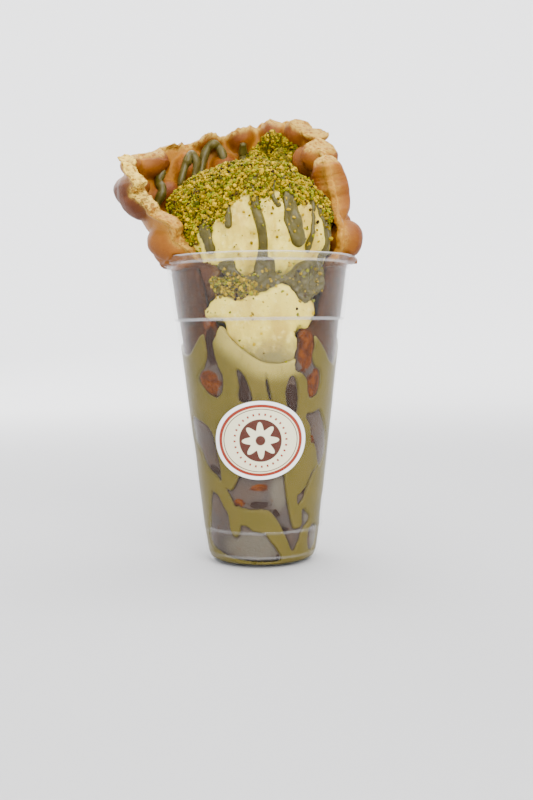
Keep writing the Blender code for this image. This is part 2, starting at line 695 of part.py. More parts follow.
def drip_on_scoop(scoop, drip, tree, collection):
    """A run of nut cream down the scoop that swells to a drop at its end, or stops short of what is there."""
    degrees, start, end, width = drip
    points, radii = [], []
    for k in range(DRIP_STEPS):
        share = k / (DRIP_STEPS - 1)
        turn = math.radians(degrees) + DRIP_WANDER * math.sin(DRIP_WAVE * share + degrees)
        place, normal = scoop_surface(scoop, polar(turn, math.radians(start + (end - start) * share)))
        room = tree.find_nearest(place)[3]
        radius = width * (DRIP_START + (1 - DRIP_START) * math.sin(math.pi * share) + DRIP_SWELL * share)
        if place.z < SCOOP_FOOT + radius + DRIP_PROUD or room < radius + ICE_GAP:
            break
        points.append(place - normal * (radius - DRIP_PROUD))
        radii.append(radius)
    if len(points) > 2:
        tube(points, radii, "drip", collection)


def nuts_on_scoop(scoop, tree, collection):
    draw = random.Random(SEED + 2)
    for k in range(SCOOP_NUTS):
        from_top = SCOOP_NUTS_REACH * math.sqrt((k + 0.5) / SCOOP_NUTS)
        place, normal = scoop_surface(scoop, polar(k * GOLDEN_ANGLE, from_top))
        if tree.find_nearest(place)[3] > 2 * NUT_SIZES[1] + ICE_GAP:
            nut(place, normal, draw, "nut", collection)


def make_filling(collection, finish, tree):
    """Ice cream down the middle of the cone. It nears the wall where the sheet opens at the front."""
    bm = bmesh.new()
    shoulder = dict(enumerate(FILLING_SHOULDER))
    bmesh.ops.create_uvsphere(bm, u_segments=FILLING_SEGMENTS, v_segments=FILLING_RINGS, radius=1.0)
    for corner in bm.verts:
        ring_from_top = round(math.acos(max(-1.0, min(1.0, corner.co.z))) / math.pi * FILLING_RINGS)
        nearest_pole = min(ring_from_top, FILLING_RINGS - ring_from_top)
        level = min(max((ring_from_top - 1) / (FILLING_RINGS - 2), 0.0), 1.0)
        z = FILLING_TOP + (FILLING_FOOT - FILLING_TOP) * level
        reach = cup_inside(z) * shoulder.get(nearest_pole, 1.0)
        flat = Vector((corner.co.x, corner.co.y, 0))
        corner.co = Vector((0, 0, z)) + (flat.normalized() * reach if nearest_pole else flat * 0)
    hold_clear(bm, tree, lambda place: Vector((0, 0, place.z)))
    return object_from(bm, "filling", collection, finish)


def shade(obj):
    obj.data.shade_smooth()
    obj.data.set_sharp_from_angle(angle=SHARP_ANGLE)


def main():
    clear_scene()
    parts = make_collection("bubble_waffle_in_tumbler")
    clear = material("clear_plastic", *CLEAR_PLASTIC)
    paper = material("label_paper", *LABEL_PAPER)
    crust = material("waffle_crust", *WAFFLE_CRUST)
    cream = material("ice_cream", *ICE_CREAM)
    nut_cream = material("nut_cream", *NUT_CREAM)

    cup = make_cup(parts, clear)
    label = make_label(parts, paper)
    sauce = make_sauce(parts, nut_cream)
    waffle = make_waffle(parts, crust)
    press = waffle.modifiers.new("lip", "BOOLEAN")
    press.operation = "DIFFERENCE"
    press.object = groove_for_lip(make_collection("cutters"))
    press.solver = "EXACT"
    on_sheet = make_collection("on_sheet")
    for rope in ROPES:
        rope_on_sheet(rope, on_sheet)
    nuts_on_sheet(on_sheet)
    fuse(waffle, on_sheet)

    tree = obstacle(cup, sauce, waffle)
    scoop = make_scoop(parts, cream, tree)
    bpy.context.view_layer.update()
    on_scoop = make_collection("on_scoop")
    for drip in DRIPS:
        drip_on_scoop(scoop, drip, tree, on_scoop)
    nuts_on_scoop(scoop, tree, on_scoop)
    fuse(scoop, on_scoop)
    filling = make_filling(parts, cream, tree)
    for obj in (cup, label, sauce, waffle, scoop, filling):
        shade(obj)


if __name__ == "__main__":
    main()
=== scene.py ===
"""Looks of a bubble waffle rolled into a clear tumbler, with ice cream, nut cream and crushed nuts.

It is laid out as an add-on: each piece has its settings and its operator, and main() runs the operators
in order round the packed solids. Lengths are in metres, the tumbler's base is at the origin and the front
faces -Y. A place on the tumbler's wall is given in degrees round from the front and millimetres up.
"""

import math
import random

import bmesh
import bpy
import numpy as np
from bpy.props import FloatProperty, FloatVectorProperty, IntProperty, PointerProperty
from mathutils import Matrix, Vector, noise
from mathutils.bvhtree import BVHTree


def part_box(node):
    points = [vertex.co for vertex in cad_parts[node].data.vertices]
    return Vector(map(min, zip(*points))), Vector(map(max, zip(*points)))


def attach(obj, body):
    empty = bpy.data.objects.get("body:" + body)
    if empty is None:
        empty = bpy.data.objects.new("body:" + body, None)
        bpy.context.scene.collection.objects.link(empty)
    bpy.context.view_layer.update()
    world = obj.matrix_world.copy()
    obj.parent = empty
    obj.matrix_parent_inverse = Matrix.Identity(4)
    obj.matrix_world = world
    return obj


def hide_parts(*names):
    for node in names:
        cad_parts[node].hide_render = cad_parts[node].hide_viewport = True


bl_info = {
    "name": "Bubble Waffle in a Tumbler",
    "version": (1, 0, 0),
    "blender": (4, 5, 0),
    "location": "3D View > Sidebar > Waffle",
    "description": "Builds a filled bubble waffle in a clear tumbler, piece by piece",
    "category": "Add Mesh",
}

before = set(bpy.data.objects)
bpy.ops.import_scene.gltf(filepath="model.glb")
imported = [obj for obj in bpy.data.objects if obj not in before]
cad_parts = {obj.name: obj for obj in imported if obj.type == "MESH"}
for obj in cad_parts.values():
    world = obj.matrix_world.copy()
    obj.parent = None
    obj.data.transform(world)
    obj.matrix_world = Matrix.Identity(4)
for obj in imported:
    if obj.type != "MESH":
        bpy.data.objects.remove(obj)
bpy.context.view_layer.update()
SEED = 7
MM = 0.001

# Tumbler
FLOOR_LEVEL = 0.0014
WALL = 0.0010
FOOT_RADIUS = 0.0243
FOOT_CORNER = 0.0035
PUNT_INNER = 0.009
PUNT_OUTER = 0.021
PUNT_DEPTH = 0.0008
BEAD = 0.0006
LOW_BEADS = (0.0055, 0.0180)
SHOULDER = 0.1215
SHOULDER_STEP = 0.0008
TAPER = ((0.0035, 0.0280), (0.0180, 0.0303), (SHOULDER, 0.0420), (0.1490, 0.0454))
LIP_INNER = 0.0450
LIP_RADIUS = 0.0492
LIP_TOP = 0.1525
LIP_DROP = 0.0037
LIP_CLEAR_INSIDE = 0.0008
LIP_CLEAR_OUTSIDE = 0.0006
LIP_CLEAR_BELOW = 0.0004
LIP_CLEAR_ABOVE = 0.0005
TOUCH = 0.0003
ROUND_RADIUS = 0.0350
NOISE_RADIUS = 0.04
MM_PER_DEGREE = math.radians(ROUND_RADIUS / MM)

# Waffle sheet: u counts bubbles across it from the middle of the back, v counts rows of bubbles up it
BUBBLES_ACROSS = 9
BUBBLE_ROWS = 10
HALF_ACROSS = BUBBLES_ACROSS / 2
ROWS_IN_CUP = 7
SHEET_FOOT = 0.0050
SHEET_AT_RIM = 0.1490
WEB = 0.0016
BUBBLE_HEIGHT = 0.0096
PRESSED_HEIGHT = 0.0054
PRESSED_BELOW = 0.1400
FULL_ABOVE = 0.1580
CAP_POWER = 0.52
BUBBLE_RADIUS = 0.475
TORN_HEIGHT = {"left": 0.0040, "right": 0.0018}
TORN_WIDTH = 0.34
RIM_WIDTH = 0.13
# Rows of bubbles above the rim, by the height of their middles, and how far they reach up and down
ROWS_ABOVE = (0.1535, 0.1705, 0.1875, 0.2045, 0.2215)
BUBBLE_REACH = 0.0086
# The bubbles along the torn sides: u, height, size, half width in u and half height.
# At the neck the sheet is nearly flat where a bubble would be
SIDES_FROM = 3.55
NECK = (-3.0, 0.1705)
SIDE_BUBBLES = (
    (-3.00, 0.1725, 0.26, 0.46, 0.0086),
    (-3.85, 0.1590, 0.95, 0.52, 0.0082),
    (-3.85, 0.1830, 0.74, 0.55, 0.0118),
    (-3.70, 0.2010, 0.45, 0.50, 0.0060),
    (3.90, 0.1610, 0.95, 0.50, 0.0092),
    (3.95, 0.1870, 0.95, 0.50, 0.0180),
)
# Painted shade on the big bubble at the torn left side: u, height, half width in u and half height of the
# darkened patch
SHADED_BUBBLE = (-3.95, 0.1815, 0.60, 0.0125)
TOP_RIM = 0.10
SCALLOP = 0.0015
TEAR = 0.14
WALL_GAP = 0.0028
TOP_EDGE = ((-1.0, 0.203), (-0.78, 0.208), (-0.45, 0.219), (-0.12, 0.226), (0.18, 0.230), (0.50, 0.222),
            (0.80, 0.207), (1.0, 0.200))
LEFT_EDGE = ((0.005, 177), (0.040, 176), (0.060, 166), (0.085, 147), (0.120, 134), (0.135, 146), (0.147, 149),
             (0.153, 140), (0.159, 130), (0.171, 120), (0.181, 115), (0.205, 97))
RIGHT_EDGE = ((0.005, 177), (0.040, 176), (0.060, 166), (0.085, 149), (0.120, 132), (0.147, 116),
              (0.160, 111), (0.175, 106), (0.205, 99))
FLARE = {
    "back": ((0.148, 0.0), (0.161, 0.0030), (0.190, 0.0060), (0.226, 0.0080)),
    "left": ((0.148, 0.0), (0.152, 0.0045), (0.160, 0.0120), (0.182, 0.0255), (0.205, 0.0295)),
    "right": ((0.148, 0.0), (0.152, 0.0030), (0.161, 0.0070), (0.175, 0.0030), (0.190, -0.0005),
              (0.205, -0.0030)),
    "front": ((0.148, 0.0), (0.205, 0.0040)),
}
COLUMNS_IN_RIM = 9
COLUMNS_PER_BUBBLE = 21
ROWS_PER_BUBBLE_IN_CUP = 8
ROWS_PER_BUBBLE = 28
ROWS_IN_TOP_RIM = 6
PORE_SPACING = 0.0016
PORE_DEPTH = 0.0011
# Layers of noise, each a scale, a seed and a height
SHEET_WRINKLES = ((260, 1, 0.00035), (620, 2, 0.00016))
SIDE_FRAY = ((7.0, 29, 0.07), (17.0, 30, 0.05))
TOP_FRAY = ((2.3, 3, 0.05), (9.0, 4, 0.07))
CRUMB_CRAGS = ((700, 5, 0.0005), (330, 28, 0.0011))

# Ropes of nut cream on the inside of the sheet: share across, v at the foot, half width, height in v.
# A rope with no width is one strand, and one with a width is an arch
ROPE_RADIUS = 0.0025
ROPES = (
    (-0.62, 8.30, 0.0, 1.10),
    (-0.46, 8.80, 0.040, 0.85),
    (-0.31, 8.80, 0.078, 0.95),
    (-0.10, 9.00, 0.0, 0.62),
    (0.80, 8.10, 0.0, 1.15),
)
ROPE_STEPS = 26
ROPE_LIFT = 0.4
ROPE_WANDER = 0.006

# Nut cream on the tumbler's wall. Its top edge and its windows are in degrees and millimetres
WALL_CREAM_TOP = (
    (-180, 104), (-150, 112), (-120, 99), (-95, 110), (-75, 105), (-60, 105.5), (-50, 111), (-44, 114.5),
    (-39, 113), (-33, 112), (-28, 118), (-24, 117), (-20, 112.5), (-12, 107.5), (-4, 103.5), (4, 101),
    (14, 100.5), (24, 102), (30, 105), (36, 112), (42, 113.5), (47, 111), (52, 108), (58, 104), (63, 101),
    (75, 100), (95, 112), (120, 100), (150, 110), (180, 104),
)
WALL_CREAM_FOOT = 1.6
WINDOWS = (
    # Torn end of the sheet on the left, with the crust below it
    ((-42, 122), (-41.5, 112), (-41, 105), (-44, 99), (-52, 94.5), (-50, 90.5), (-42, 86), (-34, 84.5),
     (-29, 88), (-28, 94), (-31, 99), (-34, 106), (-34, 113), (-31, 122)),
    # Gaps between runs of cream, darkened with painted shade
    ((-17, 97.5), (-12.5, 95.5), (-8.5, 90), (-6.5, 83), (-16, 83), (-15.5, 90)),
    ((4.2, 96.5), (5.8, 92), (8.2, 84), (7.2, 84), (4.8, 91)),
    ((22.5, 93.5), (20, 89), (20.5, 82), (24.5, 73), (28, 72), (30, 80), (29.5, 88), (26.5, 94)),
    # Torn end of the sheet on the right
    ((29, 115), (33, 116.5), (40, 114.5), (42.5, 108), (41.5, 103), (44, 99), (50, 96), (51.5, 90), (49, 85),
     (42, 83.5), (38.5, 87), (37.5, 92), (33.5, 95), (26.5, 98), (28, 105), (28.5, 111)),
    # Pressed sheet to the right of the label, with the slit that runs down from it
    ((38, 75), (47, 76), (54, 77), (62, 71), (70, 63), (72, 55), (64, 49.5), (58, 51), (54, 57), (50, 61),
     (46, 62), (44, 70)),
    ((57, 48.5), (50, 46), (45, 41), (39, 37), (34.5, 35.5), (36, 31.5), (41, 33.5), (45, 38), (50, 43.5)),
    # Pressed sheet to the left of the label
    ((-72, 73), (-60, 72.5), (-50, 70.5), (-42, 66), (-40, 58), (-38, 51.5), (-37, 43.5), (-42, 45.5),
     (-50, 48), (-57, 52.5), (-62, 58), (-72, 63)),
    # Left side and foot, under the lobe of cream
    ((-49, 37), (-43, 35.5), (-38, 31), (-33, 26.5), (-32, 20), (-30, 16.7), (-26, 15.4), (-22, 17.2),
     (-20.5, 20.5), (-18, 21.8), (-13, 20.5), (-8, 18.8), (0, 17.9), (4, 16.9), (10, 12.6), (16, 8.6),
     (19.5, 6.0), (19, 3.6), (10, 3.1), (-10, 3.4), (-30, 4.6), (-50, 7.0), (-62, 9.5), (-65, 14), (-60, 21),
     (-56, 29), (-53, 35)),
    # Middle, under the label, running down to the right
    ((-33, 39.5), (-28, 38.8), (-24, 41), (-20, 45), (-12, 50), (10, 50), (19, 47), (21, 43), (22.3, 38),
     (24, 33), (26.5, 27), (29, 22.5), (31.5, 19.6), (35, 18.9), (39, 19.3), (42.3, 21.5), (41.5, 24.5),
     (41, 28), (43.5, 28.6), (47, 26.5), (51, 25.2), (52.3, 22.8), (49, 20.8), (45, 19.2), (42, 17),
     (39.5, 13), (36.5, 9.5), (33.5, 7.9), (31, 8.8), (28.5, 11.5), (26, 14.2), (21, 18.5), (16, 23.2),
     (11, 27.2),
     (5, 29.6), (-2, 30), (-9, 29.8), (-16, 30.4), (-21, 31.2), (-25, 31.2), (-27, 33.5), (-29.5, 36.5)),
    # Low on the right
    ((54, 18.2), (62, 19.3), (70, 16.5), (72, 10), (66, 6.6), (58, 7.2), (53.5, 10.5), (52.5, 14.5)),
)
# Grids on the wall: lowest and highest millimetres and how many rows, or degrees and how many columns
PRESSED_ROWS = (2.6, 146.6, 180)
PRESSED_COLUMNS = 300
PRESSED_THICKNESS = 1.4
CREAM_ROWS = (1.2, 119.5, 188)
CREAM_COLUMNS = 360
SADDLE_ROWS = (125, 151, 90)
SADDLE_COLUMNS = (-30, 53, 130)
CUP_NUT_ROWS = (128, 143, 40)
CUP_NUT_COLUMNS = (-34, 3, 60)
BACK_WINDOWS = 9
BACK_WINDOWS_FROM = 86.0
BACK_WINDOW_SIZE = (5.4, 11.0)
BACK_WINDOWS_LOWEST = 26.0
BACK_WINDOWS_APART = 27.0

# Stains and painted shade on the pressed sheet: degrees, millimetres up, half width in degrees, half height,
# lean in degrees
CRUST_STAINS = (
    (-41, 91, 13, 8.0, 10), (-56, 114, 12, 6.0, 0), (35, 106, 9, 11, 0), (44, 90, 9, 9.5, -15),
    (-21, 33, 7, 2.6, 0), (33, 48, 5, 3.2, 0), (47, 60, 5, 8, 20), (66, 112, 12, 4, 0),
    (-50, 118, 9, 4.0, 0), (-2, 41, 9, 2.2, 0),
)
# Dark crust, and painted shade that fills the gaps between runs of cream and follows the edges of its windows
SHADE_AND_DARK_STAINS = (
    (-37, 109, 5.5, 12, 0), (-12, 88, 5, 8.5, 0), (25, 83, 6, 11, 0), (6, 90, 2.5, 8, 0),
    (-2, 32.2, 13, 2.2, 0), (14, 27.5, 5, 2.0, -42), (23, 18.6, 7, 2.0, -48), (45, 39.5, 10, 2.6, 42),
    (-45, 48.5, 8, 3.0, -10), (-60, 120, 12, 1.6, 0), (57, 98, 6, 1.2, 0), (44, 28.8, 4, 1.4, 0),
    (17, 5.0, 4, 2.4, 0),
)
GREY_STAINS = (
    (-10, 11, 34, 9, 0), (16, 38, 9, 10, 0), (66, 13, 10, 6, 0), (48, 24, 5, 3, 0), (-70, 66, 6, 7, 0),
)

# Ice cream against the wall below the lip, and nut cream in the gap over it, as outlines on the wall
PRESSED_ICE = (
    (-41, 123), (-38, 121), (-31, 121.5), (-26, 120), (-24, 114), (-20, 110.5), (-12, 106), (-4, 102),
    (4, 99.3), (14, 98.8), (24, 100), (28, 103), (29.5, 109), (28, 115), (29, 117), (34, 115.8),
    (38.5, 118), (41.5, 123), (40, 128), (36, 131), (31, 130), (27, 131.5), (22, 136), (15, 138),
    (7, 135.6), (1, 133.6), (-5, 134), (-12, 131), (-20, 132), (-28, 133), (-35, 129.5), (-40, 126),
)
SADDLE = (
    (-27, 147), (-22, 141), (-15, 138.5), (-9, 137), (-3, 133.5), (2, 133), (8, 134.5), (13, 135.5),
    (17, 138), (22, 136), (27, 131), (31, 126.5), (36, 127), (41, 131), (47, 134), (50, 140), (47, 146),
    (40, 149), (30, 148), (24, 144), (17, 141.5), (12, 143), (10.5, 149), (0, 149.5), (-3, 143.5),
    (-9, 141.5), (-13, 144), (-16, 149),
)
CUP_NUTS = (
    (-32, 139), (-28, 141.5), (-20, 140.5), (-14, 142), (-8, 140.5), (-3, 138.5), (0, 134), (-2, 130.5),
    (-8, 129.5), (-14, 131), (-21, 131.8), (-28, 133),
)

# Scoop of ice cream, and nut cream down it: degrees from the front, start and end polar angle, half width
SCOOP_CENTRE = Vector((-0.002, -0.007, 0.161))
SCOOP_RADIUS = 0.0362
SCOOP_FOOT = 0.1340
LAYER_DEPTH = 0.0012
SCOOP_GRID = (150, 300)
LOWER_ICE_GRID = (120, 240)
SCOOP_LUMPS = ((3.1, 0, 0.0014), (6.3, 0, 0.0014), (42.0, 13, 0.00022))
SCOOP_RIPPLES = ((7.0, 11, 1.0), (17.0, 12, 0.45))
LOWER_ICE_LUMPS = ((90, 17, 0.0012), (230, 18, 0.0005))
LOWER_ICE_TOP = 138.5
LOWER_ICE_FOOT = 12.0
SIDE_LUMPS = ((Vector((-0.74, 0.20, 0.42)), 0.009, 0.42), (Vector((0.84, -0.40, 0.18)), 0.003, 0.30),
              (Vector((0.26, 0.50, 0.82)), 0.007, 0.34))
DRIPS = ((-78, 30, 80, 2.2), (-60, 30, 90, 2.4), (-36, 25, 100, 3.0), (-22, 30, 84, 1.8), (4, 46, 118, 2.7),
         (20, 40, 70, 1.3), (33, 36, 94, 4.0), (50, 40, 102, 1.1), (60, 36, 112, 1.5), (69, 30, 104, 1.3),
         (110, 20, 66, 3.0), (150, 20, 58, 3.0), (-120, 20, 66, 3.0), (-160, 20, 62, 3.2))
DRIP_HEIGHT = 0.0016
DRIP_EDGE = 1.8
# How far down the scoop the crushed nuts lie, as polar angle against degrees from the front
NUTS_REACH = ((-180, 62), (-130, 78), (-95, 96), (-66, 100), (-46, 92), (-30, 82), (-16, 68), (0, 62),
              (14, 64), (28, 60), (44, 66), (62, 76), (80, 80), (110, 70), (180, 62))
BED_HEIGHT = 0.0010
BED_EDGE = 3.0
# Heap of crushed nuts on the back of the sheet: its middle and half sizes in u and v, and its height
HEAP = (0.62, 9.14, 1.18, 0.52)
HEAP_HEIGHT = 0.0040
HEAP_ROWS = (8.6, 9.95, 60)
HEAP_COLUMNS = (-0.9, 2.1, 96)
# Kinds of crushed nut: share of all grains, scale, and the screen colours of light and dark flesh and of skin
NUT_KINDS = (
    ("golden_nuts", 0.52, 1.0, (190, 158, 0), (98, 80, 0), (50, 38, 2)),
    ("green_nuts", 0.36, 1.0, (136, 134, 0), (58, 60, 0), (46, 38, 4)),
    ("nut_skins", 0.12, 0.85, (78, 56, 18), (24, 17, 10), (56, 34, 34)),
)
GRAIN_LIFT = 0.0013

# Stage. A light has a place, its two sizes, watts, a colour and the point it is aimed at
BODY_MIDDLE = (0.0, 0.0, 0.11)
LIGHTS = (
    ("key", (0.45, -1.15, 0.95), (0.9, 0.9), 31, (1.0, 0.985, 0.96), BODY_MIDDLE),
    ("fill", (-0.70, -1.05, 0.45), (1.1, 1.1), 4.5, (0.97, 0.985, 1.0), BODY_MIDDLE),
    ("top", (0.0, 0.1, 1.35), (1.2, 1.2), 26, (1.0, 1.0, 1.0), BODY_MIDDLE),
    ("back", (-0.5, 0.95, 0.7), (0.8, 0.8), 9, (1.0, 1.0, 1.0), BODY_MIDDLE),
    ("backdrop", (0.0, 0.5, 1.7), (1.6, 0.6), 30, (1.0, 1.0, 1.0), (0, 1.9, 0.7)),
)
SKY = (0.90, 0.92, 0.95)
SKY_STRENGTH = 1.02
CAMERA_PLACE = (0.0031, -0.490, 0.115)
CAMERA_DIP = 4.0
CAMERA_ROLL = -0.75


def srgb(red, green, blue):
    """A colour picked as 0 to 255 on a screen, in the linear values that shaders use."""
    shares = (value / 255 for value in (red, green, blue))
    return tuple(share / 12.92 if share <= 0.04045 else ((share + 0.055) / 1.055) ** 2.4 for share in shares)


def length_setting(name, description, default):
    return FloatProperty(name=name, description=description, default=default, unit="LENGTH")


def number_setting(name, description, default, unit="NONE"):
    return FloatProperty(name=name, description=description, default=default, unit=unit)


def colour_setting(name, description, default):
    return FloatVectorProperty(name=name, description=description, default=default, subtype="COLOR")


class TumblerSettings(bpy.types.PropertyGroup):
    """Sizes and look of the clear tumbler."""

    height: length_setting("Height", "Height of the lip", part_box("cup")[1].z)
    segments: IntProperty(name="Segments", description="Steps round the wall", default=176)
    haze: number_setting("Haze", "Milkiness of the wall", 0.004)


class LabelSettings(bpy.types.PropertyGroup):
    """Size and colours of the plain oval label."""

    width: length_setting("Width", "Distance across the oval", 0.046)
    height: length_setting("Height", "Distance up the oval", 0.038)
    centre: length_setting("Centre", "Height of its middle", 0.064)
    turn: number_setting("Turn", "How far it is turned", math.radians(-2), "ROTATION")
    ring: colour_setting("Ring", "Colour of its ring", srgb(132, 34, 10))


class WaffleSettings(bpy.types.PropertyGroup):
    """Colours of the baked crust."""

    crust: colour_setting("Crust", "Colour of a bubble", srgb(132, 78, 12))
    browned: colour_setting("Browned", "Colour of a bubble's top", srgb(94, 44, 8))
    web: colour_setting("Web", "Colour between bubbles", srgb(158, 104, 22))
    crumb: colour_setting("Crumb", "Colour of a torn edge", srgb(226, 192, 84))


class IceCreamSettings(bpy.types.PropertyGroup):
    """Look of the ice cream."""

    colour: colour_setting("Colour", "Colour of the ice cream", srgb(223, 201, 68))
    ripple: length_setting("Ripple", "Depth of the scoop's ripples", 0.0015)


class NutCreamSettings(bpy.types.PropertyGroup):
    """Look of the nut cream."""

    colour: colour_setting("Colour", "Colour of the cream", srgb(88, 79, 32))
    edge: length_setting("Edge", "Width of its rounded edge", 0.0011)


class NutSettings(bpy.types.PropertyGroup):
    """Size and number of the crushed nuts."""

    smallest: length_setting("Smallest", "Least width of a grain", 0.0005)
    largest: length_setting("Largest", "Greatest width of a grain", 0.0024)
    density: number_setting("Density", "Grains on a square centimetre", 150.0)


class StageSettings(bpy.types.PropertyGroup):
    """Camera and light."""

    lens: number_setting("Lens", "Focal length in millimetres", 43.4)
    brightness: number_setting("Brightness", "Strength of the lights", 1.0)


def through(knots, x):
    """Smooth curve through the (x, y) knots, held level past both ends, at a number or an array."""
    places, heights = np.array(knots, float).T
    low = np.maximum(np.arange(len(knots)) - 1, 0)
    high = np.minimum(np.arange(len(knots)) + 1, len(knots) - 1)
    slopes = (heights[high] - heights[low]) / (places[high] - places[low])
    x = np.clip(x, places[0], places[-1])
    i = np.clip(np.searchsorted(places, x, "right") - 1, 0, len(knots) - 2)
    span = places[i + 1] - places[i]
    t = (x - places[i]) / span
    rise = slopes[i] * (t - 2 * t**2 + t**3) + slopes[i + 1] * (t**3 - t**2)
    return heights[i] + (heights[i + 1] - heights[i]) * (3 * t**2 - 2 * t**3) + span * rise


def smooth(low, high, x):
    """0 below low, 1 above high and a soft step between."""
    t = np.clip((x - low) / (high - low), 0.0, 1.0)
    return t * t * (3 - 2 * t)


def unit(vectors):
    """The same vectors with a length of one."""
    return vectors / np.maximum(np.linalg.norm(vectors, axis=-1, keepdims=True), 1e-12)


def stacked(x, y, z):
    """One array of points from three arrays or numbers."""
    return np.stack(np.broadcast_arrays(x, y, z), axis=-1)


def noise_at(points, scale, seed=0.0):
    """Smooth noise from -1 to 1 at each of an array of points."""
    places = (points.reshape(-1, 3) * scale + seed * 17.3).tolist()
    return np.array([noise.noise(place) for place in places]).reshape(points.shape[:-1])


def layered(points, layers):
    """A sum of noises at each of an array of points, each given as scale, seed and height."""
    return sum(height * noise_at(points, scale, seed) for scale, seed, height in layers)


def pores_at(points, spacing):
    """1 in the middle of a pore and 0 between pores, at each of an array of points."""
    places = (points.reshape(-1, 3) / spacing).tolist()
    nearest = np.array([noise.voronoi(place)[0][0] for place in places]).reshape(points.shape[:-1])
    return 1 - smooth(0.18, 0.55, nearest)


def around(degrees, millimetres, radius):
    """Points on the wall at an angle from the front, a height and a radius."""
    angle = np.radians(degrees)
    return stacked(radius * np.sin(angle), -radius * np.cos(angle), millimetres * MM)


def on_wall(degrees, millimetres, inset):
    """Points just inside the tumbler's wall, this far from its inner face."""
    return around(degrees, millimetres, cup_inside(millimetres * MM) - inset)


def wall_noise(degrees, millimetres, scale, seed, upright=1.0):
    """Smooth noise over the wall, drawn out upwards where upright is below 1."""
    return noise_at(around(degrees, millimetres, NOISE_RADIUS) * (1.0, 1.0, upright), scale, seed)


def rounded_outline(corners, steps=4):
    """The closed outline through the corners, smoothed."""
    corners = np.array(corners, float)
    before, after, beyond = (np.roll(corners, shift, axis=0) for shift in (1, -1, -2))
    made = []
    for k in range(steps):
        t = k / steps
        made.append(0.5 * (2 * corners + (after - before) * t
                           + (2 * before - 5 * corners + 4 * after - beyond) * t**2
                           + (3 * corners - before - 3 * after + beyond) * t**3))
    return np.stack(made, axis=1).reshape(-1, 2)


def outside_distance(outline, degrees, millimetres):
    """Distance in millimetres to a closed outline on the wall, below 0 inside it."""
    x, y = degrees * MM_PER_DEGREE, millimetres
    inside = np.zeros(np.shape(x), bool)
    nearest = np.full(np.shape(x), 1e9)
    points = outline * (MM_PER_DEGREE, 1.0)
    for (x0, y0), (x1, y1) in zip(points, np.roll(points, -1, axis=0)):
        dx, dy = x1 - x0, y1 - y0
        t = np.clip(((x - x0) * dx + (y - y0) * dy) / (dx * dx + dy * dy + 1e-12), 0, 1)
        nearest = np.minimum(nearest, (x - x0 - t * dx) ** 2 + (y - y0 - t * dy) ** 2)
        if y0 != y1:
            inside ^= ((y0 > y) != (y1 > y)) & (x < x0 + (y - y0) * dx / dy)
    return np.where(inside, -1, 1) * np.sqrt(nearest)


def blot(spots, degrees, millimetres):
    """How strongly any of the soft oval spots colours each place on the wall, up to 1."""
    most = np.zeros(np.shape(degrees))
    for middle, height, half_width, half_height, lean in spots:
        x, y = (degrees - middle) * MM_PER_DEGREE, millimetres - height
        turn = math.radians(lean)
        along = (x * math.cos(turn) + y * math.sin(turn)) / (half_width * MM_PER_DEGREE)
        up = (y * math.cos(turn) - x * math.sin(turn)) / half_height
        most = np.maximum(most, 1 - smooth(0.45, 1.15, np.hypot(along, up)))
    return most


def cup_outside(z):
    """Outer radius of the tumbler's wall at height z, with the step at its stacking shoulder."""
    heights, radii = np.array(TAPER).T
    slope = (radii[-1] - radii[-2]) / (heights[-1] - heights[-2])
    radius = np.interp(z, heights, radii) + slope * np.maximum(z - heights[-1], 0)
    return radius + SHOULDER_STEP * smooth(SHOULDER - BEAD, SHOULDER + BEAD, z)


def cup_inside(z):
    """Inner radius of the tumbler's wall at height z."""
    return cup_outside(z) - WALL


def linked(name, data):
    """A new object in the scene with this mesh, curve, light or camera."""
    made = bpy.data.objects.new(name, data)
    bpy.context.scene.collection.objects.link(made)
    return made


def mesh_object(name, points, faces, finish, marks=None):
    """A piece made of points and faces, with its named values at the points."""
    mesh = bpy.data.meshes.new(name)
    mesh.from_pydata(points.tolist(), [], faces)
    for mark, values in (marks or {}).items():
        mesh.attributes.new(mark, "FLOAT", "POINT").data.foreach_set("value", values.astype(np.float32))
    made = linked(name, mesh)
    mesh.materials.append(finish)
    face_outwards(mesh)
    mesh.shade_smooth()
    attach(made, "root")
    return made


def face_outwards(mesh):
    """Merges points that coincide and turns every face outwards."""
    bm = bmesh.new()
    bm.from_mesh(mesh)
    bmesh.ops.remove_doubles(bm, verts=bm.verts, dist=0.000002)
    bmesh.ops.recalc_face_normals(bm, faces=bm.faces)
    bm.to_mesh(mesh)
    bm.free()


def kept_cells(middle_depth):
    """Cells inside an outline, with none that touch only at a corner."""
    keep = middle_depth > 0
    for _ in range(4):
        a, b, c, d = keep[:-1, :-1], keep[:-1, 1:], keep[1:, :-1], keep[1:, 1:]
        rising, falling = a & d & ~b & ~c, b & c & ~a & ~d
        keep[:-1, 1:] |= rising
        keep[:-1, :-1] |= falling
    return keep


def touching(keep):
    """Grid points at which a kept cell touches, and those among them on the border."""
    padded = np.pad(keep, 1)
    corners = [padded[:-1, :-1], padded[:-1, 1:], padded[1:, :-1], padded[1:, 1:]]
    count = sum(corner.astype(int) for corner in corners)
    return count > 0, (count > 0) & (count < 4)


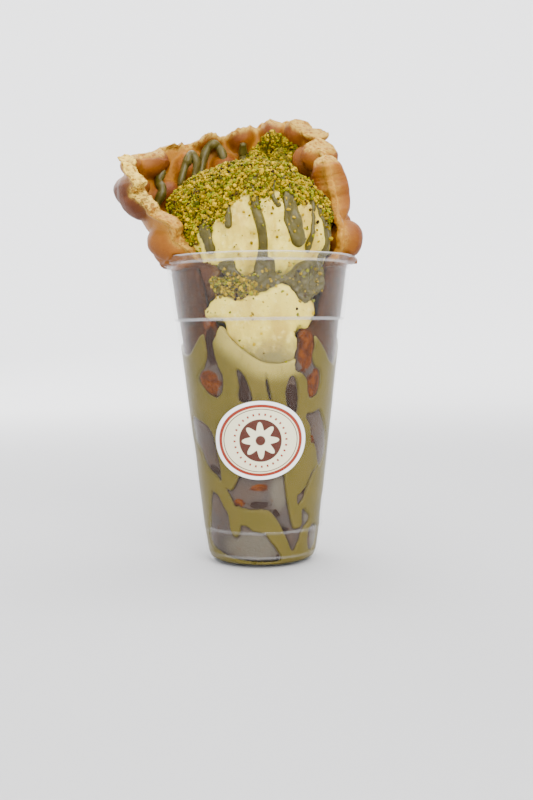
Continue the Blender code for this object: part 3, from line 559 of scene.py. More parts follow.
def outlined_grid(rows, columns, field):
    """A grid's rows, columns, depths and kept cells, with border points moved onto the field's outline.

    Points on the grid's own edge, well inside the outline, stay where they are.
    """
    row, column = np.meshgrid(rows, columns, indexing="ij")
    depth = field(row, column)
    keep = kept_cells((depth[1:, 1:] + depth[:-1, 1:] + depth[1:, :-1] + depth[:-1, :-1]) / 4)
    border = touching(keep)[1]
    step_row, step_column = rows[1] - rows[0], columns[1] - columns[0]
    inside = depth[border]
    slope = np.hypot(field(row[border] + 0.2 * step_row, column[border]) - inside,
                     field(row[border], column[border] + 0.2 * step_column) - inside) / 0.2
    border[border] = inside < 1.6 * slope
    home_row, home_column = row[border], column[border]
    r, c = home_row.copy(), home_column.copy()
    for _ in range(4):
        d = field(r, c)
        slope_r = (field(r + 0.2 * step_row, c) - d) / 0.2
        slope_c = (field(r, c + 0.2 * step_column) - d) / 0.2
        push = d / (slope_r**2 + slope_c**2 + 1e-9)
        r = home_row + np.clip((r - push * slope_r * step_row - home_row) / step_row, -0.7, 0.7) * step_row
        c = home_column + np.clip((c - push * slope_c * step_column - home_column) / step_column,
                                  -0.7, 0.7) * step_column
    row[border], column[border] = r, c
    depth = np.maximum(field(row, column), 0)
    depth[border] = 0
    return row, column, depth, keep


def closed_sheet(name, outer, inner, keep, finish, marks=None):
    """A closed mesh from two grids of points, joined by a skirt round the border of the kept cells.

    A mark is one grid of values for both sides, or a pair of grids for the outer and the inner side.
    """
    rows, columns = outer.shape[:2]
    index = np.arange(rows * columns).reshape(rows, columns)
    far = index + rows * columns
    i, j = np.nonzero(keep)
    quads = [np.stack([index[i, j], index[i, j + 1], index[i + 1, j + 1], index[i + 1, j]], 1),
             np.stack([far[i, j], far[i + 1, j], far[i + 1, j + 1], far[i, j + 1]], 1)]
    padded = np.pad(keep, 1)
    inside = padded[1:-1, 1:-1]
    sides = ((padded[:-2, 1:-1], (0, 1), (0, 0)), (padded[2:, 1:-1], (1, 0), (1, 1)),
             (padded[1:-1, :-2], (0, 0), (1, 0)), (padded[1:-1, 2:], (1, 1), (0, 1)))
    for neighbour, start, end in sides:
        i, j = np.nonzero(inside & ~neighbour)
        first, second = index[i + start[0], j + start[1]], index[i + end[0], j + end[1]]
        quads.append(np.stack([first, second, second + rows * columns, first + rows * columns], 1))
    faces = np.concatenate(quads)
    used, faces = np.unique(faces, return_inverse=True)
    points = np.concatenate([outer.reshape(-1, 3), inner.reshape(-1, 3)])[used]
    both = {}
    for mark, values in (marks or {}).items():
        outer_values, inner_values = values if isinstance(values, tuple) else (values, values)
        both[mark] = np.concatenate([outer_values.ravel(), inner_values.ravel()])[used]
    return mesh_object(name, points, faces.reshape(-1, 4).tolist(), finish, both)


def closed_ball(name, points, finish, marks=None):
    """A closed mesh from rows of points round an axis, each row a loop and the first and last a pole."""
    rows, columns = points.shape[:2]
    index = np.arange(rows * columns).reshape(rows, columns)
    after = np.roll(index, -1, axis=1)
    faces = np.stack([index[1:-2], after[1:-2], after[2:-1], index[2:-1]], -1).reshape(-1, 4).tolist()
    faces += np.stack([after[1], index[1], np.full(columns, index[0, 0])], -1).tolist()
    faces += np.stack([index[-2], after[-2], np.full(columns, index[-1, 0])], -1).tolist()
    flat = points.reshape(-1, 3)
    flat[index[0]] = flat[index[0, 0]]
    flat[index[-1]] = flat[index[-1, 0]]
    marks = {mark: values.ravel() for mark, values in (marks or {}).items()}
    made = mesh_object(name, flat, faces, finish, marks)
    drop_loose(made.data)
    return made


def drop_loose(mesh):
    """Removes points that no face uses."""
    bm = bmesh.new()
    bm.from_mesh(mesh)
    bmesh.ops.delete(bm, geom=[corner for corner in bm.verts if not corner.link_faces], context="VERTS")
    bm.to_mesh(mesh)
    bm.free()


def evaluated_copy(obj):
    """The mesh of obj with its modifiers in place."""
    graph = bpy.context.evaluated_depsgraph_get()
    return bpy.data.meshes.new_from_object(obj.evaluated_get(graph))


class Nodes:
    """A node tree, and the one way that nodes are added to it."""

    def __init__(self, tree):
        self.tree = tree
        self.tree.nodes.clear()

    def add(self, kind, settings=None, values=None):
        """A node of a kind, with its settings and then the values or links of its sockets."""
        made = self.tree.nodes.new(kind)
        for name, value in (settings or {}).items():
            setattr(made, name, value)
        for name, value in (values or {}).items():
            socket = made.inputs[name]
            value = value.socket if isinstance(value, Number) else value
            if isinstance(value, bpy.types.NodeSocket):
                self.tree.links.new(value, socket)
            elif isinstance(value, tuple) and len(value) == 3 and socket.type == "RGBA":
                socket.default_value = (*value, 1.0)
            else:
                socket.default_value = value
        return made


class Number:
    """A number on a socket. Sums written with it add Math nodes."""

    def __init__(self, nodes, socket):
        self.nodes = nodes
        self.socket = socket

    def maths(self, operation, *others):
        values = dict(enumerate((self, *others)))
        made = self.nodes.add("ShaderNodeMath", {"operation": operation}, values)
        return Number(self.nodes, made.outputs[0])

    def __add__(self, other):
        return self.maths("ADD", other)

    def __radd__(self, other):
        return self.maths("ADD", other)

    def __sub__(self, other):
        return self.maths("SUBTRACT", other)

    def __rsub__(self, other):
        return (self * -1.0) + other

    def __mul__(self, other):
        return self.maths("MULTIPLY", other)

    def __rmul__(self, other):
        return self.maths("MULTIPLY", other)

    def __truediv__(self, other):
        return self.maths("DIVIDE", other)

    def __pow__(self, other):
        return self.maths("POWER", other)

    def most(self, other):
        return self.maths("MAXIMUM", other)

    def least(self, other):
        return self.maths("MINIMUM", other)

    def step(self, low, high):
        """0 below low and 1 above high, with a soft step between."""
        settings = {"interpolation_type": "SMOOTHSTEP"}
        values = {0: self, 1: low, 2: high}
        return Number(self.nodes, self.nodes.add("ShaderNodeMapRange", settings, values).outputs[0])


class Finish(Nodes):
    """A material and the shader nodes in it."""

    def __init__(self, name):
        self.material = bpy.data.materials.new(name)
        self.material.use_nodes = True
        super().__init__(self.material.node_tree)
        self.place = self.add("ShaderNodeTexCoord").outputs["Object"]

    def noise(self, size, detail=2.0, roughness=0.5, place=None):
        """Noise from 0 to 1 with lumps of about this size in metres."""
        values = {"Vector": place or self.place, "Scale": 1 / size, "Detail": detail, "Roughness": roughness}
        return Number(self, self.add("ShaderNodeTexNoise", None, values).outputs[0])

    def cells(self, size):
        """Distance from the middle of the nearest cell, with cells of about this size in metres."""
        values = {"Vector": self.place, "Scale": 1 / size}
        return Number(self, self.add("ShaderNodeTexVoronoi", None, values).outputs["Distance"])

    def stretched(self, scale):
        """Object coordinates squeezed along each axis, for grain that runs one way."""
        return self.add("ShaderNodeMapping", None, {"Vector": self.place, "Scale": scale}).outputs[0]

    def mark(self, name):
        """The piece's own value of that name."""
        return Number(self, self.add("ShaderNodeAttribute", {"attribute_name": name}).outputs["Fac"])

    def height(self):
        split = self.add("ShaderNodeSeparateXYZ", None, {"Vector": self.place})
        return Number(self, split.outputs["Z"])

    def mix(self, share, first, second):
        """From the first colour to the second as share goes from 0 to 1."""
        values = {0: share, 6: first, 7: second}
        return self.add("ShaderNodeMix", {"data_type": "RGBA", "clamp_factor": True}, values).outputs[2]

    def bump(self, height, distance, under=None):
        values = {"Height": height, "Distance": distance, "Strength": 1.0}
        if under:
            values["Normal"] = under
        return self.add("ShaderNodeBump", None, values).outputs["Normal"]

    def surface(self, values):
        return self.add("ShaderNodeBsdfPrincipled", None, values).outputs[0]

    def done(self, shader):
        out = self.add("ShaderNodeOutputMaterial")
        self.tree.links.new(shader, out.inputs["Surface"])
        return self.material


def clear_plastic(haze):
    """Thin clear plastic: it shines where it is seen edge on, and is a little milky at its lip and ridges."""
    finish = Finish("clear_plastic")
    z = finish.height()
    lip = z.step(LIP_TOP - LIP_DROP - 0.0012, LIP_TOP - LIP_DROP)
    shoulder = (z - SHOULDER).maths("ABSOLUTE").step(0.0011, 0.0003)
    ridges = ((z - LOW_BEADS[0]).maths("ABSOLUTE").step(0.0010, 0.0003)
              + (z - LOW_BEADS[1]).maths("ABSOLUTE").step(0.0010, 0.0003))
    upper = z.step(SHOULDER, SHOULDER + 0.004)
    facing = Number(finish, finish.add("ShaderNodeLayerWeight", None, {"Blend": 0.5}).outputs["Facing"])
    streaks = finish.noise(0.010, 3.0, 0.6, finish.stretched((1.0, 1.0, 0.25)))
    top_line = z.step(LIP_TOP - 0.0009, LIP_TOP - 0.0002)
    low_line = (z - (LIP_TOP - LIP_DROP)).maths("ABSOLUTE").step(0.0008, 0.0002)
    milk = haze + 0.006 * upper + 0.08 * facing**6.0 + 0.20 * shoulder + 0.06 * ridges
    milk = milk + 0.02 * lip + 0.34 * top_line + 0.16 * low_line
    milk = milk * (0.75 + 0.5 * streaks)
    body = finish.surface({"Base Color": srgb(226, 226, 228), "Roughness": 0.35, "Specular IOR Level": 0.3})
    gloss = finish.surface({"Base Color": (0.95, 0.95, 0.95), "Metallic": 1.0, "Roughness": 0.07})
    empty = finish.add("ShaderNodeBsdfTransparent", None, {"Color": (0.985, 0.985, 0.985)}).outputs[0]
    mirrored = (facing**5.0 * 0.5 + 0.006) * (1 - 0.6 * lip)
    shiny = finish.add("ShaderNodeMixShader", None, {0: mirrored, 1: empty, 2: gloss}).outputs[0]
    return finish.done(finish.add("ShaderNodeMixShader", None, {0: milk, 1: shiny, 2: body}).outputs[0])


def label_paper(settings):
    """White-edged oval with a rust ring. In its cream field dots ring a brown disc with a cream flower."""
    finish = Finish("label_paper")
    across, up = finish.mark("across"), finish.mark("up")
    half_width, half_height = settings.width / 2, settings.height / 2
    reach = ((across / half_width) ** 2.0 + (up / half_height) ** 2.0) ** 0.5
    ring = reach.step(0.83, 0.842) * (1 - reach.step(0.905, 0.917))
    fine = reach.step(0.78, 0.787) * (1 - reach.step(0.80, 0.807))
    field = 1 - reach.step(0.83, 0.842)
    distance = (across**2.0 + up**2.0) ** 0.5
    turn = up.maths("ARCTAN2", across)
    wide = (reach * math.tau * 0.5).maths("COSINE")
    petals = (turn * 8.0).maths("COSINE") * 0.0019 + 0.0070
    disc = distance.step(0.0104, 0.0101)
    flower = (distance - petals).step(0.00025, -0.00025)
    heart = distance.step(0.0026, 0.0021)
    dotted = (distance - 0.0126).maths("ABSOLUTE").step(0.0007, 0.0004)
    dots = (turn * 28.0).maths("COSINE").step(0.35, 0.75) * dotted
    brown, cream, white = srgb(72, 26, 14), srgb(226, 220, 186), srgb(240, 240, 238)
    fibre = finish.noise(0.0007, 3.0)
    colour = finish.mix(field, white, cream)
    colour = finish.mix(fine, colour, brown)
    colour = finish.mix(ring, colour, tuple(settings.ring))
    colour = finish.mix(disc, colour, brown)
    colour = finish.mix(flower * (1 - heart), colour, cream)
    colour = finish.mix(dots, colour, tuple(settings.ring))
    colour = finish.mix(fibre * 0.10, colour, srgb(150, 146, 136))
    normal = finish.bump(fibre + 0.2 * wide, 0.00003)
    values = {"Base Color": colour, "Roughness": 0.45, "Normal": normal, "Specular IOR Level": 0.15}
    return finish.done(finish.surface(values))


def waffle_crust(settings):
    """Baked crust: pale webs, browned bubbles with pores, and a porous crumb where the sheet is torn, with
    painted shade in the pores and holes and on the big bubble on the left.
    """
    finish = Finish("waffle_crust")
    swell, crumb, pressed = finish.mark("swell"), finish.mark("crumb"), finish.mark("pressed")
    pore, dark = finish.mark("pore"), finish.mark("dark")
    broad, mottle, fine = finish.noise(0.016, 2.0), finish.noise(0.0034, 4.0, 0.6), finish.noise(0.0008, 3.0)
    specks = finish.cells(0.0021).step(0.20, 0.06)
    baked = finish.mix(swell.step(0.12, 0.55), tuple(settings.web), tuple(settings.crust))
    browning = (swell.step(0.45, 1.05) * 0.55 + broad.step(0.35, 0.75) * 0.55) * (0.55 + 0.9 * mottle)
    baked = finish.mix(browning, baked, tuple(settings.browned))
    baked = finish.mix(specks * 0.35, baked, srgb(84, 36, 12))
    baked = finish.mix((fine.step(0.5, 0.75)) * 0.20, baked, srgb(156, 96, 28))
    # painted shade: the big bubble on the left is darkened
    baked = finish.mix(dark * (0.60 + 0.6 * mottle), baked, srgb(76, 34, 4))
    open_crumb = finish.mix(finish.noise(0.0022, 4.0, 0.65).step(0.48, 0.66), tuple(settings.crumb),
                            srgb(160, 108, 30))
    # painted shade: pores and holes in the crumb are coloured dark brown, more strongly lower down
    holes = finish.cells(0.0030).step(0.44, 0.24).most(finish.cells(0.0013).step(0.36, 0.20))
    holes = holes * (0.30 + 0.70 * finish.height().step(0.194, 0.176))
    open_crumb = finish.mix(pore.most(holes) * 0.80, open_crumb, srgb(96, 48, 8))
    colour = finish.mix(crumb, baked, open_crumb)
    colour = finish.mix(pressed * (0.60 + 0.50 * broad), colour, srgb(62, 34, 14))
    grain = finish.bump(fine + 0.6 * mottle, 0.00022, finish.bump(holes * crumb * -1.0, 0.0009))
    values = {"Base Color": colour, "Roughness": 0.46 + 0.30 * crumb + 0.12 * mottle, "Normal": grain,
              "Specular IOR Level": 0.16}
    return finish.done(finish.surface(values))


def pressed_crust():
    """Sheet pressed flat on the wall: misty and greyish mauve, with crust, dark stains, painted shade in the
    gaps between the nut cream and a painted shadow along the cream's edges.
    """
    finish = Finish("pressed_crust")
    crust, dark, grey = finish.mark("crust"), finish.mark("dark"), finish.mark("grey")
    broad, mottle, fine = finish.noise(0.012, 2.0), finish.noise(0.0030, 4.0, 0.6), finish.noise(0.0009, 3.0)
    ragged = (mottle - 0.5) * 2.4 + (fine - 0.5) * 0.5
    misty = finish.mix(broad.step(0.3, 0.7), srgb(78, 64, 54), srgb(70, 62, 57))
    misty = finish.mix(grey * (0.5 + 0.5 * broad), misty, srgb(98, 92, 78))
    misty = finish.mix(mottle.step(0.55, 0.75) * 0.30, misty, srgb(112, 84, 62))
    baked = finish.mix(mottle.step(0.35, 0.65), srgb(108, 54, 0), srgb(64, 27, 0))
    colour = finish.mix((crust + ragged).step(0.30, 0.66), misty, baked)
    # dark stains, and painted shade in the gaps between the nut cream
    colour = finish.mix((dark + ragged).step(0.38, 0.66), colour, srgb(44, 28, 20))
    # painted shadow: a dark line where the nut cream's edge meets the pressed sheet
    colour = finish.mix(finish.mark("edge") * 0.75, colour, srgb(46, 34, 22))
    values = {"Base Color": colour, "Roughness": 0.5, "Normal": finish.bump(mottle + 0.4 * fine, 0.0003),
              "Specular IOR Level": 0.06}
    return finish.done(finish.surface(values))


def ice_cream(settings):
    """Soft ice cream: pale cream with warmer streaks, fine ice grain and small pits with painted shade in
    them.
    """
    finish = Finish("ice_cream")
    streak = finish.noise(0.012, 3.0, 0.55, finish.stretched((1.0, 1.0, 0.35)))
    mottle, fine = finish.noise(0.0030, 4.0, 0.6), finish.noise(0.0007, 3.0, 0.6)
    shaded_pits = finish.cells(0.0024).step(0.16, 0.05)
    colour = finish.mix(streak.step(0.40, 0.68), tuple(settings.colour), srgb(190, 160, 40))
    colour = finish.mix(mottle.step(0.50, 0.75) * 0.5, colour, srgb(240, 228, 136))
    # painted shade: the small pits are coloured darker
    colour = finish.mix(shaded_pits * 0.35, colour, srgb(180, 150, 60))
    smeared = (finish.height() + (mottle - 0.5) * 0.012).step(0.1180, 0.1010) * (0.5 + 0.9 * streak)
    colour = finish.mix(smeared, colour, srgb(116, 104, 46))
    normal = finish.bump(streak + 0.7 * mottle + 0.25 * fine - 0.5 * shaded_pits, 0.0006)
    values = {"Base Color": colour, "Roughness": 0.42 + 0.2 * mottle, "Normal": normal,
              "Subsurface Weight": 0.18, "Subsurface Radius": (0.004, 0.003, 0.002), "Subsurface Scale": 1.0}
    return finish.done(finish.surface(values))


def nut_cream(name, settings, roughness, shine, tint, tinted):
    """Thick nut cream: dull green-gold, with faint streaks, painted highlights in fine light specks, and
    tinted in patches and by a share all over.
    """
    finish = Finish(name)
    broad = finish.noise(0.011, 3.0, 0.6)
    streak = finish.noise(0.0022, 4.0, 0.6, finish.stretched((1.0, 1.0, 0.4)))
    fine = finish.noise(0.0006, 2.0)
    colour = finish.mix(broad.step(0.35, 0.7) * 0.4 + tinted, tuple(settings.colour), tint)
    colour = finish.mix(finish.mark("pale") * (0.45 + 0.5 * broad), colour, srgb(176, 160, 84))
    colour = finish.mix(streak.step(0.5, 0.8) * 0.35, colour, srgb(66, 58, 14))
    # painted highlights: fine specks of the cream are lightened
    colour = finish.mix(fine.step(0.62, 0.75) * 0.25, colour, srgb(128, 116, 44))
    normal = finish.bump(streak + 0.3 * fine, 0.00022)
    values = {"Base Color": colour, "Roughness": roughness + 0.15 * streak, "Normal": normal,
              "Specular IOR Level": shine}
    return finish.done(finish.surface(values))


def crushed_nut(name, light, dark, skin):
    """A crushed nut's flesh, lighter or darker from grain to grain, with a little dark skin."""
    finish = Finish(name)
    tone = finish.mark("tone")
    fine = finish.noise(0.0006, 3.0, 0.6)
    colour = finish.mix(tone, dark, light)
    colour = finish.mix(fine.step(0.60, 0.72) * 0.6, colour, skin)
    values = {"Base Color": colour, "Roughness": 0.55, "Normal": finish.bump(fine, 0.0002),
              "Specular IOR Level": 0.06}
    return finish.done(finish.surface(values))


def pale_floor():
    """Matt floor with painted shade round the object: darker near it and paler away from it."""
    finish = Finish("pale_floor")
    split = finish.add("ShaderNodeSeparateXYZ", None, {"Vector": finish.place})
    x, y = (Number(finish, split.outputs[axis]) for axis in ("X", "Y"))
    # painted shade round the object, fading out by 1.5 m
    far = ((x**2.0 + y**2.0) ** 0.5).step(0.35, 1.5)
    colour = finish.mix(far, srgb(184, 184, 185), srgb(244, 244, 245))
    return finish.done(finish.surface({"Base Color": colour, "Roughness": 0.85, "Specular IOR Level": 0.1}))


def tumbler_profile(top):
    """Points (radius, height) up the inside of the tumbler, over the lip and down the outside."""
    wall_top = top - LIP_DROP
    boss_level = FLOOR_LEVEL + PUNT_DEPTH
    profile = [(0, boss_level), (PUNT_OUTER, boss_level), (FOOT_RADIUS, FLOOR_LEVEL)]
    low, high = FOOT_CORNER + FLOOR_LEVEL, wall_top
    steps = [z for z in np.linspace(low, high, 60)] + [SHOULDER + step * BEAD for step in (-2, -1, 0, 1, 2)]
    profile += [(float(cup_inside(z)), float(z)) for z in sorted(steps)]
    middle = (LIP_INNER + LIP_RADIUS) / 2
    bulge, drop = (LIP_RADIUS - LIP_INNER) / 2, LIP_DROP
    for degrees in range(160, -50, -14):
        angle = math.radians(degrees)
        profile.append((middle + bulge * math.cos(angle), top - drop * 0.45 + drop * 0.45 * math.sin(angle)))
    profile.append((LIP_RADIUS - 2 * BEAD, wall_top + 0.0002))
    outer = [z for z in np.linspace(wall_top - BEAD, FOOT_CORNER + 3 * BEAD, 70)]
    outer += [SHOULDER + step * BEAD for step in (-2, -1, 0, 1, 2)]
    for bead in LOW_BEADS:
        outer += [bead + step * BEAD for step in (-2, -1, 0, 1, 2)]
    for z in sorted(outer, reverse=True):
        ridge = sum(BEAD * max(0.0, 1 - ((z - bead) / (2 * BEAD)) ** 2) for bead in LOW_BEADS)
        profile.append((float(cup_outside(z)) + ridge, float(z)))
    for degrees in range(10, 100, 10):
        angle = math.radians(degrees)
        profile.append((FOOT_RADIUS + FOOT_CORNER * math.cos(angle), FOOT_CORNER * (1 - math.sin(angle))))
    profile += [(PUNT_OUTER, 0), (PUNT_OUTER - PUNT_DEPTH, PUNT_DEPTH), (PUNT_INNER + PUNT_DEPTH, PUNT_DEPTH),
                (PUNT_INNER, 0), (0, 0)]
    return profile


def make_tumbler(settings):
    """The tumbler, turned from its profile."""
    bm = bmesh.new()
    corners = [bm.verts.new((radius, 0, z)) for radius, z in tumbler_profile(settings.height)]
    for low, high in zip(corners, corners[1:]):
        bm.edges.new((low, high))
    mesh = bpy.data.meshes.new("tumbler_profile")
    bm.to_mesh(mesh)
    bm.free()
    profile = linked("tumbler_profile", mesh)
    turn = profile.modifiers.new("turn", "SCREW")
    turn.steps = turn.render_steps = settings.segments
    turn.use_merge_vertices = True
    turn.merge_threshold = 0.00001
    mesh = evaluated_copy(profile)
    bpy.data.objects.remove(profile)
    made = linked("tumbler", mesh)
    mesh.materials.append(clear_plastic(settings.haze))
    face_outwards(mesh)
    mesh.shade_smooth()
    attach(made, "root")
    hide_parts("cup")
    return made


def make_label(settings):
    """A thin oval hugging the front of the tapered wall."""
    rings, spokes, gap, thickness = 14, 96, 0.0003, 0.0004
    share = np.linspace(0, 1, rings + 1)[1:, None]
    turn = np.linspace(0, math.tau, spokes, endpoint=False)[None, :]
    across = share * settings.width / 2 * np.cos(turn)
    up = share * settings.height / 2 * np.sin(turn)
    cosine, sine = math.cos(settings.turn), math.sin(settings.turn)
    side, rise = across * cosine + up * sine, up * cosine - across * sine
    z = rise + settings.centre
    faces_of = {}
    for lift in (gap + thickness, gap):
        radius = cup_outside(z) + lift
        faces_of[lift] = stacked(radius * np.sin(side / radius), -radius * np.cos(side / radius), z)
    middle = settings.centre
    poles = [np.array([0, -(float(cup_outside(middle)) + lift), middle]) for lift in (gap + thickness, gap)]
    outer, inner = faces_of[gap + thickness], faces_of[gap]
    first = np.broadcast_to(poles[0], (1, spokes, 3))
    last = np.broadcast_to(poles[1], (1, spokes, 3))
    points = np.concatenate([first, outer, inner[::-1], last])
    zeros = np.zeros((1, spokes))
    marks = {"across": np.concatenate([zeros, across, across[::-1], zeros]),
             "up": np.concatenate([zeros, up, up[::-1], zeros])}
    made = closed_ball("oval_label", points, label_paper(settings), marks)
    made.data.set_sharp_from_angle(angle=math.radians(40))
    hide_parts("label")
    return made


def sheet_height(u, v):
    """Height of the sheet at u, v: even rows up to the rim, then rows stretched to the scalloped top edge."""
    dip = SCALLOP * (0.5 + 0.5 * np.cos(math.tau * u)) * smooth(BUBBLE_ROWS - 1, BUBBLE_ROWS, v)
    share = (v - ROWS_IN_CUP) / (BUBBLE_ROWS - ROWS_IN_CUP)
    above = SHEET_AT_RIM + (through(TOP_EDGE, u / HALF_ACROSS) - SHEET_AT_RIM) * share - dip
    below = SHEET_FOOT + (SHEET_AT_RIM - SHEET_FOOT) * v / ROWS_IN_CUP
    return np.where(v <= ROWS_IN_CUP, below, above)


def sheet_point(u, v):
    """Points in the middle of the sheet, rolled in the tumbler and flaring out above it."""
    z = sheet_height(u, v)
    angle = u / HALF_ACROSS * np.radians(np.where(u > 0, through(RIGHT_EDGE, z), through(LEFT_EDGE, z)))
    radius = cup_inside(np.minimum(z, SHEET_AT_RIM - LIP_DROP)) - PRESSED_HEIGHT - WALL_GAP
    shares = {"back": np.maximum(np.cos(angle), 0), "front": np.maximum(-np.cos(angle), 0),
              "right": np.maximum(np.sin(angle), 0), "left": np.maximum(-np.sin(angle), 0)}
    for side, knots in FLARE.items():
        radius = radius + shares[side] ** 2 * through(knots, z)
    return stacked(radius * np.sin(angle), radius * np.cos(angle), z)


def sheet_outward(u, v):
    """Unit vectors square to the sheet, pointing out of the cone."""
    step = 0.02
    along = sheet_point(u + step, v) - sheet_point(u - step, v)
    up = sheet_point(u, v + step) - sheet_point(u, v - step)
    return unit(np.cross(up, along))


def bubble_centres():
    """(u, height, size, half width in u, half height) of every bubble, in staggered rows."""
    draw = random.Random(SEED)
    pitch = (SHEET_AT_RIM - SHEET_FOOT) / ROWS_IN_CUP
    rows = [(SHEET_FOOT + (row + 0.5) * pitch, BUBBLE_RADIUS * pitch) for row in range(ROWS_IN_CUP)]
    rows += [(height, BUBBLE_REACH) for height in ROWS_ABOVE]
    made = []
    for row, (height, reach) in enumerate(rows):
        first = -HALF_ACROSS if row % 2 else 0.5 - HALF_ACROSS
        for column in range(BUBBLES_ACROSS + row % 2):
            u = first + column + draw.uniform(-0.05, 0.05)
            z = height + draw.uniform(-0.1, 0.1) * reach
            at_neck = math.hypot(u - NECK[0], (height - NECK[1]) / reach) < 0.2
            if height < SHEET_AT_RIM or (abs(u) < SIDES_FROM and not at_neck):
                made.append((u, z, draw.uniform(0.90, 1.06), BUBBLE_RADIUS, reach * draw.uniform(0.96, 1.06)))
    return made + list(SIDE_BUBBLES)


def sheet_swell(u, v):
    """How far the sheet swells into bubbles, 0 on the webs and about 1 at a bubble's top."""
    swell, z = np.zeros(np.shape(u)), sheet_height(u, v)
    for bubble_u, bubble_z, size, half_width, half_height in bubble_centres():
        reach = ((u - bubble_u) / half_width) ** 2 + ((z - bubble_z) / half_height) ** 2
        swell = np.maximum(swell, size * np.maximum(1 - reach, 0) ** CAP_POWER)
    return swell


def sheet_thickness(u, v):
    """Half the sheet's thickness, its swell and how far it is torn crumb."""
    swell = sheet_swell(u, v)
    full = smooth(PRESSED_BELOW, FULL_ABOVE, sheet_height(u, v))
    height = PRESSED_HEIGHT + (BUBBLE_HEIGHT - PRESSED_HEIGHT) * full
    whole = np.maximum(WEB, height * np.minimum(swell, 1.0 + 0.06 * full))
    from_side = HALF_ACROSS - np.abs(u)
    torn = 1 - smooth(0.0, TORN_WIDTH, from_side)
    torn_height = np.where(u > 0, TORN_HEIGHT["right"], TORN_HEIGHT["left"])
    crumb = 1 - smooth(RIM_WIDTH * 1.1, RIM_WIDTH * 1.9, from_side)
    return whole + (torn_height - whole) * torn, swell, crumb


def rounded_rim(share):
    """A blunt rounded edge: 0 at the edge, and 1 from a share of 1 inwards."""
    return np.cbrt(1 - (1 - np.clip(share, 0, 1)) ** 3)


def clear_of_lip(points):
    """Holds points inside the wall, and pushes those in the lip's section out of it by the shortest way."""
    x, y, z = points[..., 0], points[..., 1], points[..., 2]
    radius = np.hypot(x, y)
    limit = cup_inside(np.minimum(z, SHEET_AT_RIM - LIP_DROP)) - TOUCH
    inner, outer = LIP_INNER - LIP_CLEAR_INSIDE, LIP_RADIUS + LIP_CLEAR_OUTSIDE
    lower, upper = LIP_TOP - LIP_DROP - LIP_CLEAR_BELOW, LIP_TOP + LIP_CLEAR_ABOVE
    new_radius = np.where((z < lower) & (radius > limit) & (radius < LIP_RADIUS), limit, radius)
    inward, outward, upward = radius - inner, outer - radius, upper - z
    least = np.minimum(np.minimum(inward, outward), upward)
    in_lip = (z >= lower) & (least > 0)
    new_radius = np.where(in_lip & (inward <= least), inner, new_radius)
    new_radius = np.where(in_lip & (outward <= least), outer, new_radius)
    new_z = np.where(in_lip & (upward <= least), upper, z)
    share = new_radius / np.maximum(radius, 1e-9)
    return stacked(x * share, y * share, new_z)


def torn_edge(v):
    """How far the side edges wander off a straight line at row v, in bubbles."""
    return TEAR * (np.sin(4.1 * v) + 0.6 * np.sin(9.7 * v + 1.0)) * smooth(3.0, 5.0, v)


def sheet_columns():
    """u of each column of the sheet's grid, close together in the torn rims."""
    rim = RIM_WIDTH * (np.arange(COLUMNS_IN_RIM) / COLUMNS_IN_RIM) ** 1.4
    count = int((BUBBLES_ACROSS - 2 * RIM_WIDTH) * COLUMNS_PER_BUBBLE)
    middle = np.linspace(RIM_WIDTH, BUBBLES_ACROSS - RIM_WIDTH, count)
    return np.concatenate([rim, middle, BUBBLES_ACROSS - rim[::-1]]) - HALF_ACROSS


def sheet_rows():
    """v of each row of the sheet's grid, coarse where it is hidden and close together in the top rim."""
    in_cup = np.arange(ROWS_IN_CUP * ROWS_PER_BUBBLE_IN_CUP) / ROWS_PER_BUBBLE_IN_CUP
    count = int((BUBBLE_ROWS - TOP_RIM - ROWS_IN_CUP) * ROWS_PER_BUBBLE)
    above = np.linspace(ROWS_IN_CUP, BUBBLE_ROWS - TOP_RIM, count)
    rim = BUBBLE_ROWS - TOP_RIM * (1 - np.arange(1, ROWS_IN_TOP_RIM + 1) / ROWS_IN_TOP_RIM) ** 1.5
    return np.concatenate([in_cup, above, rim])


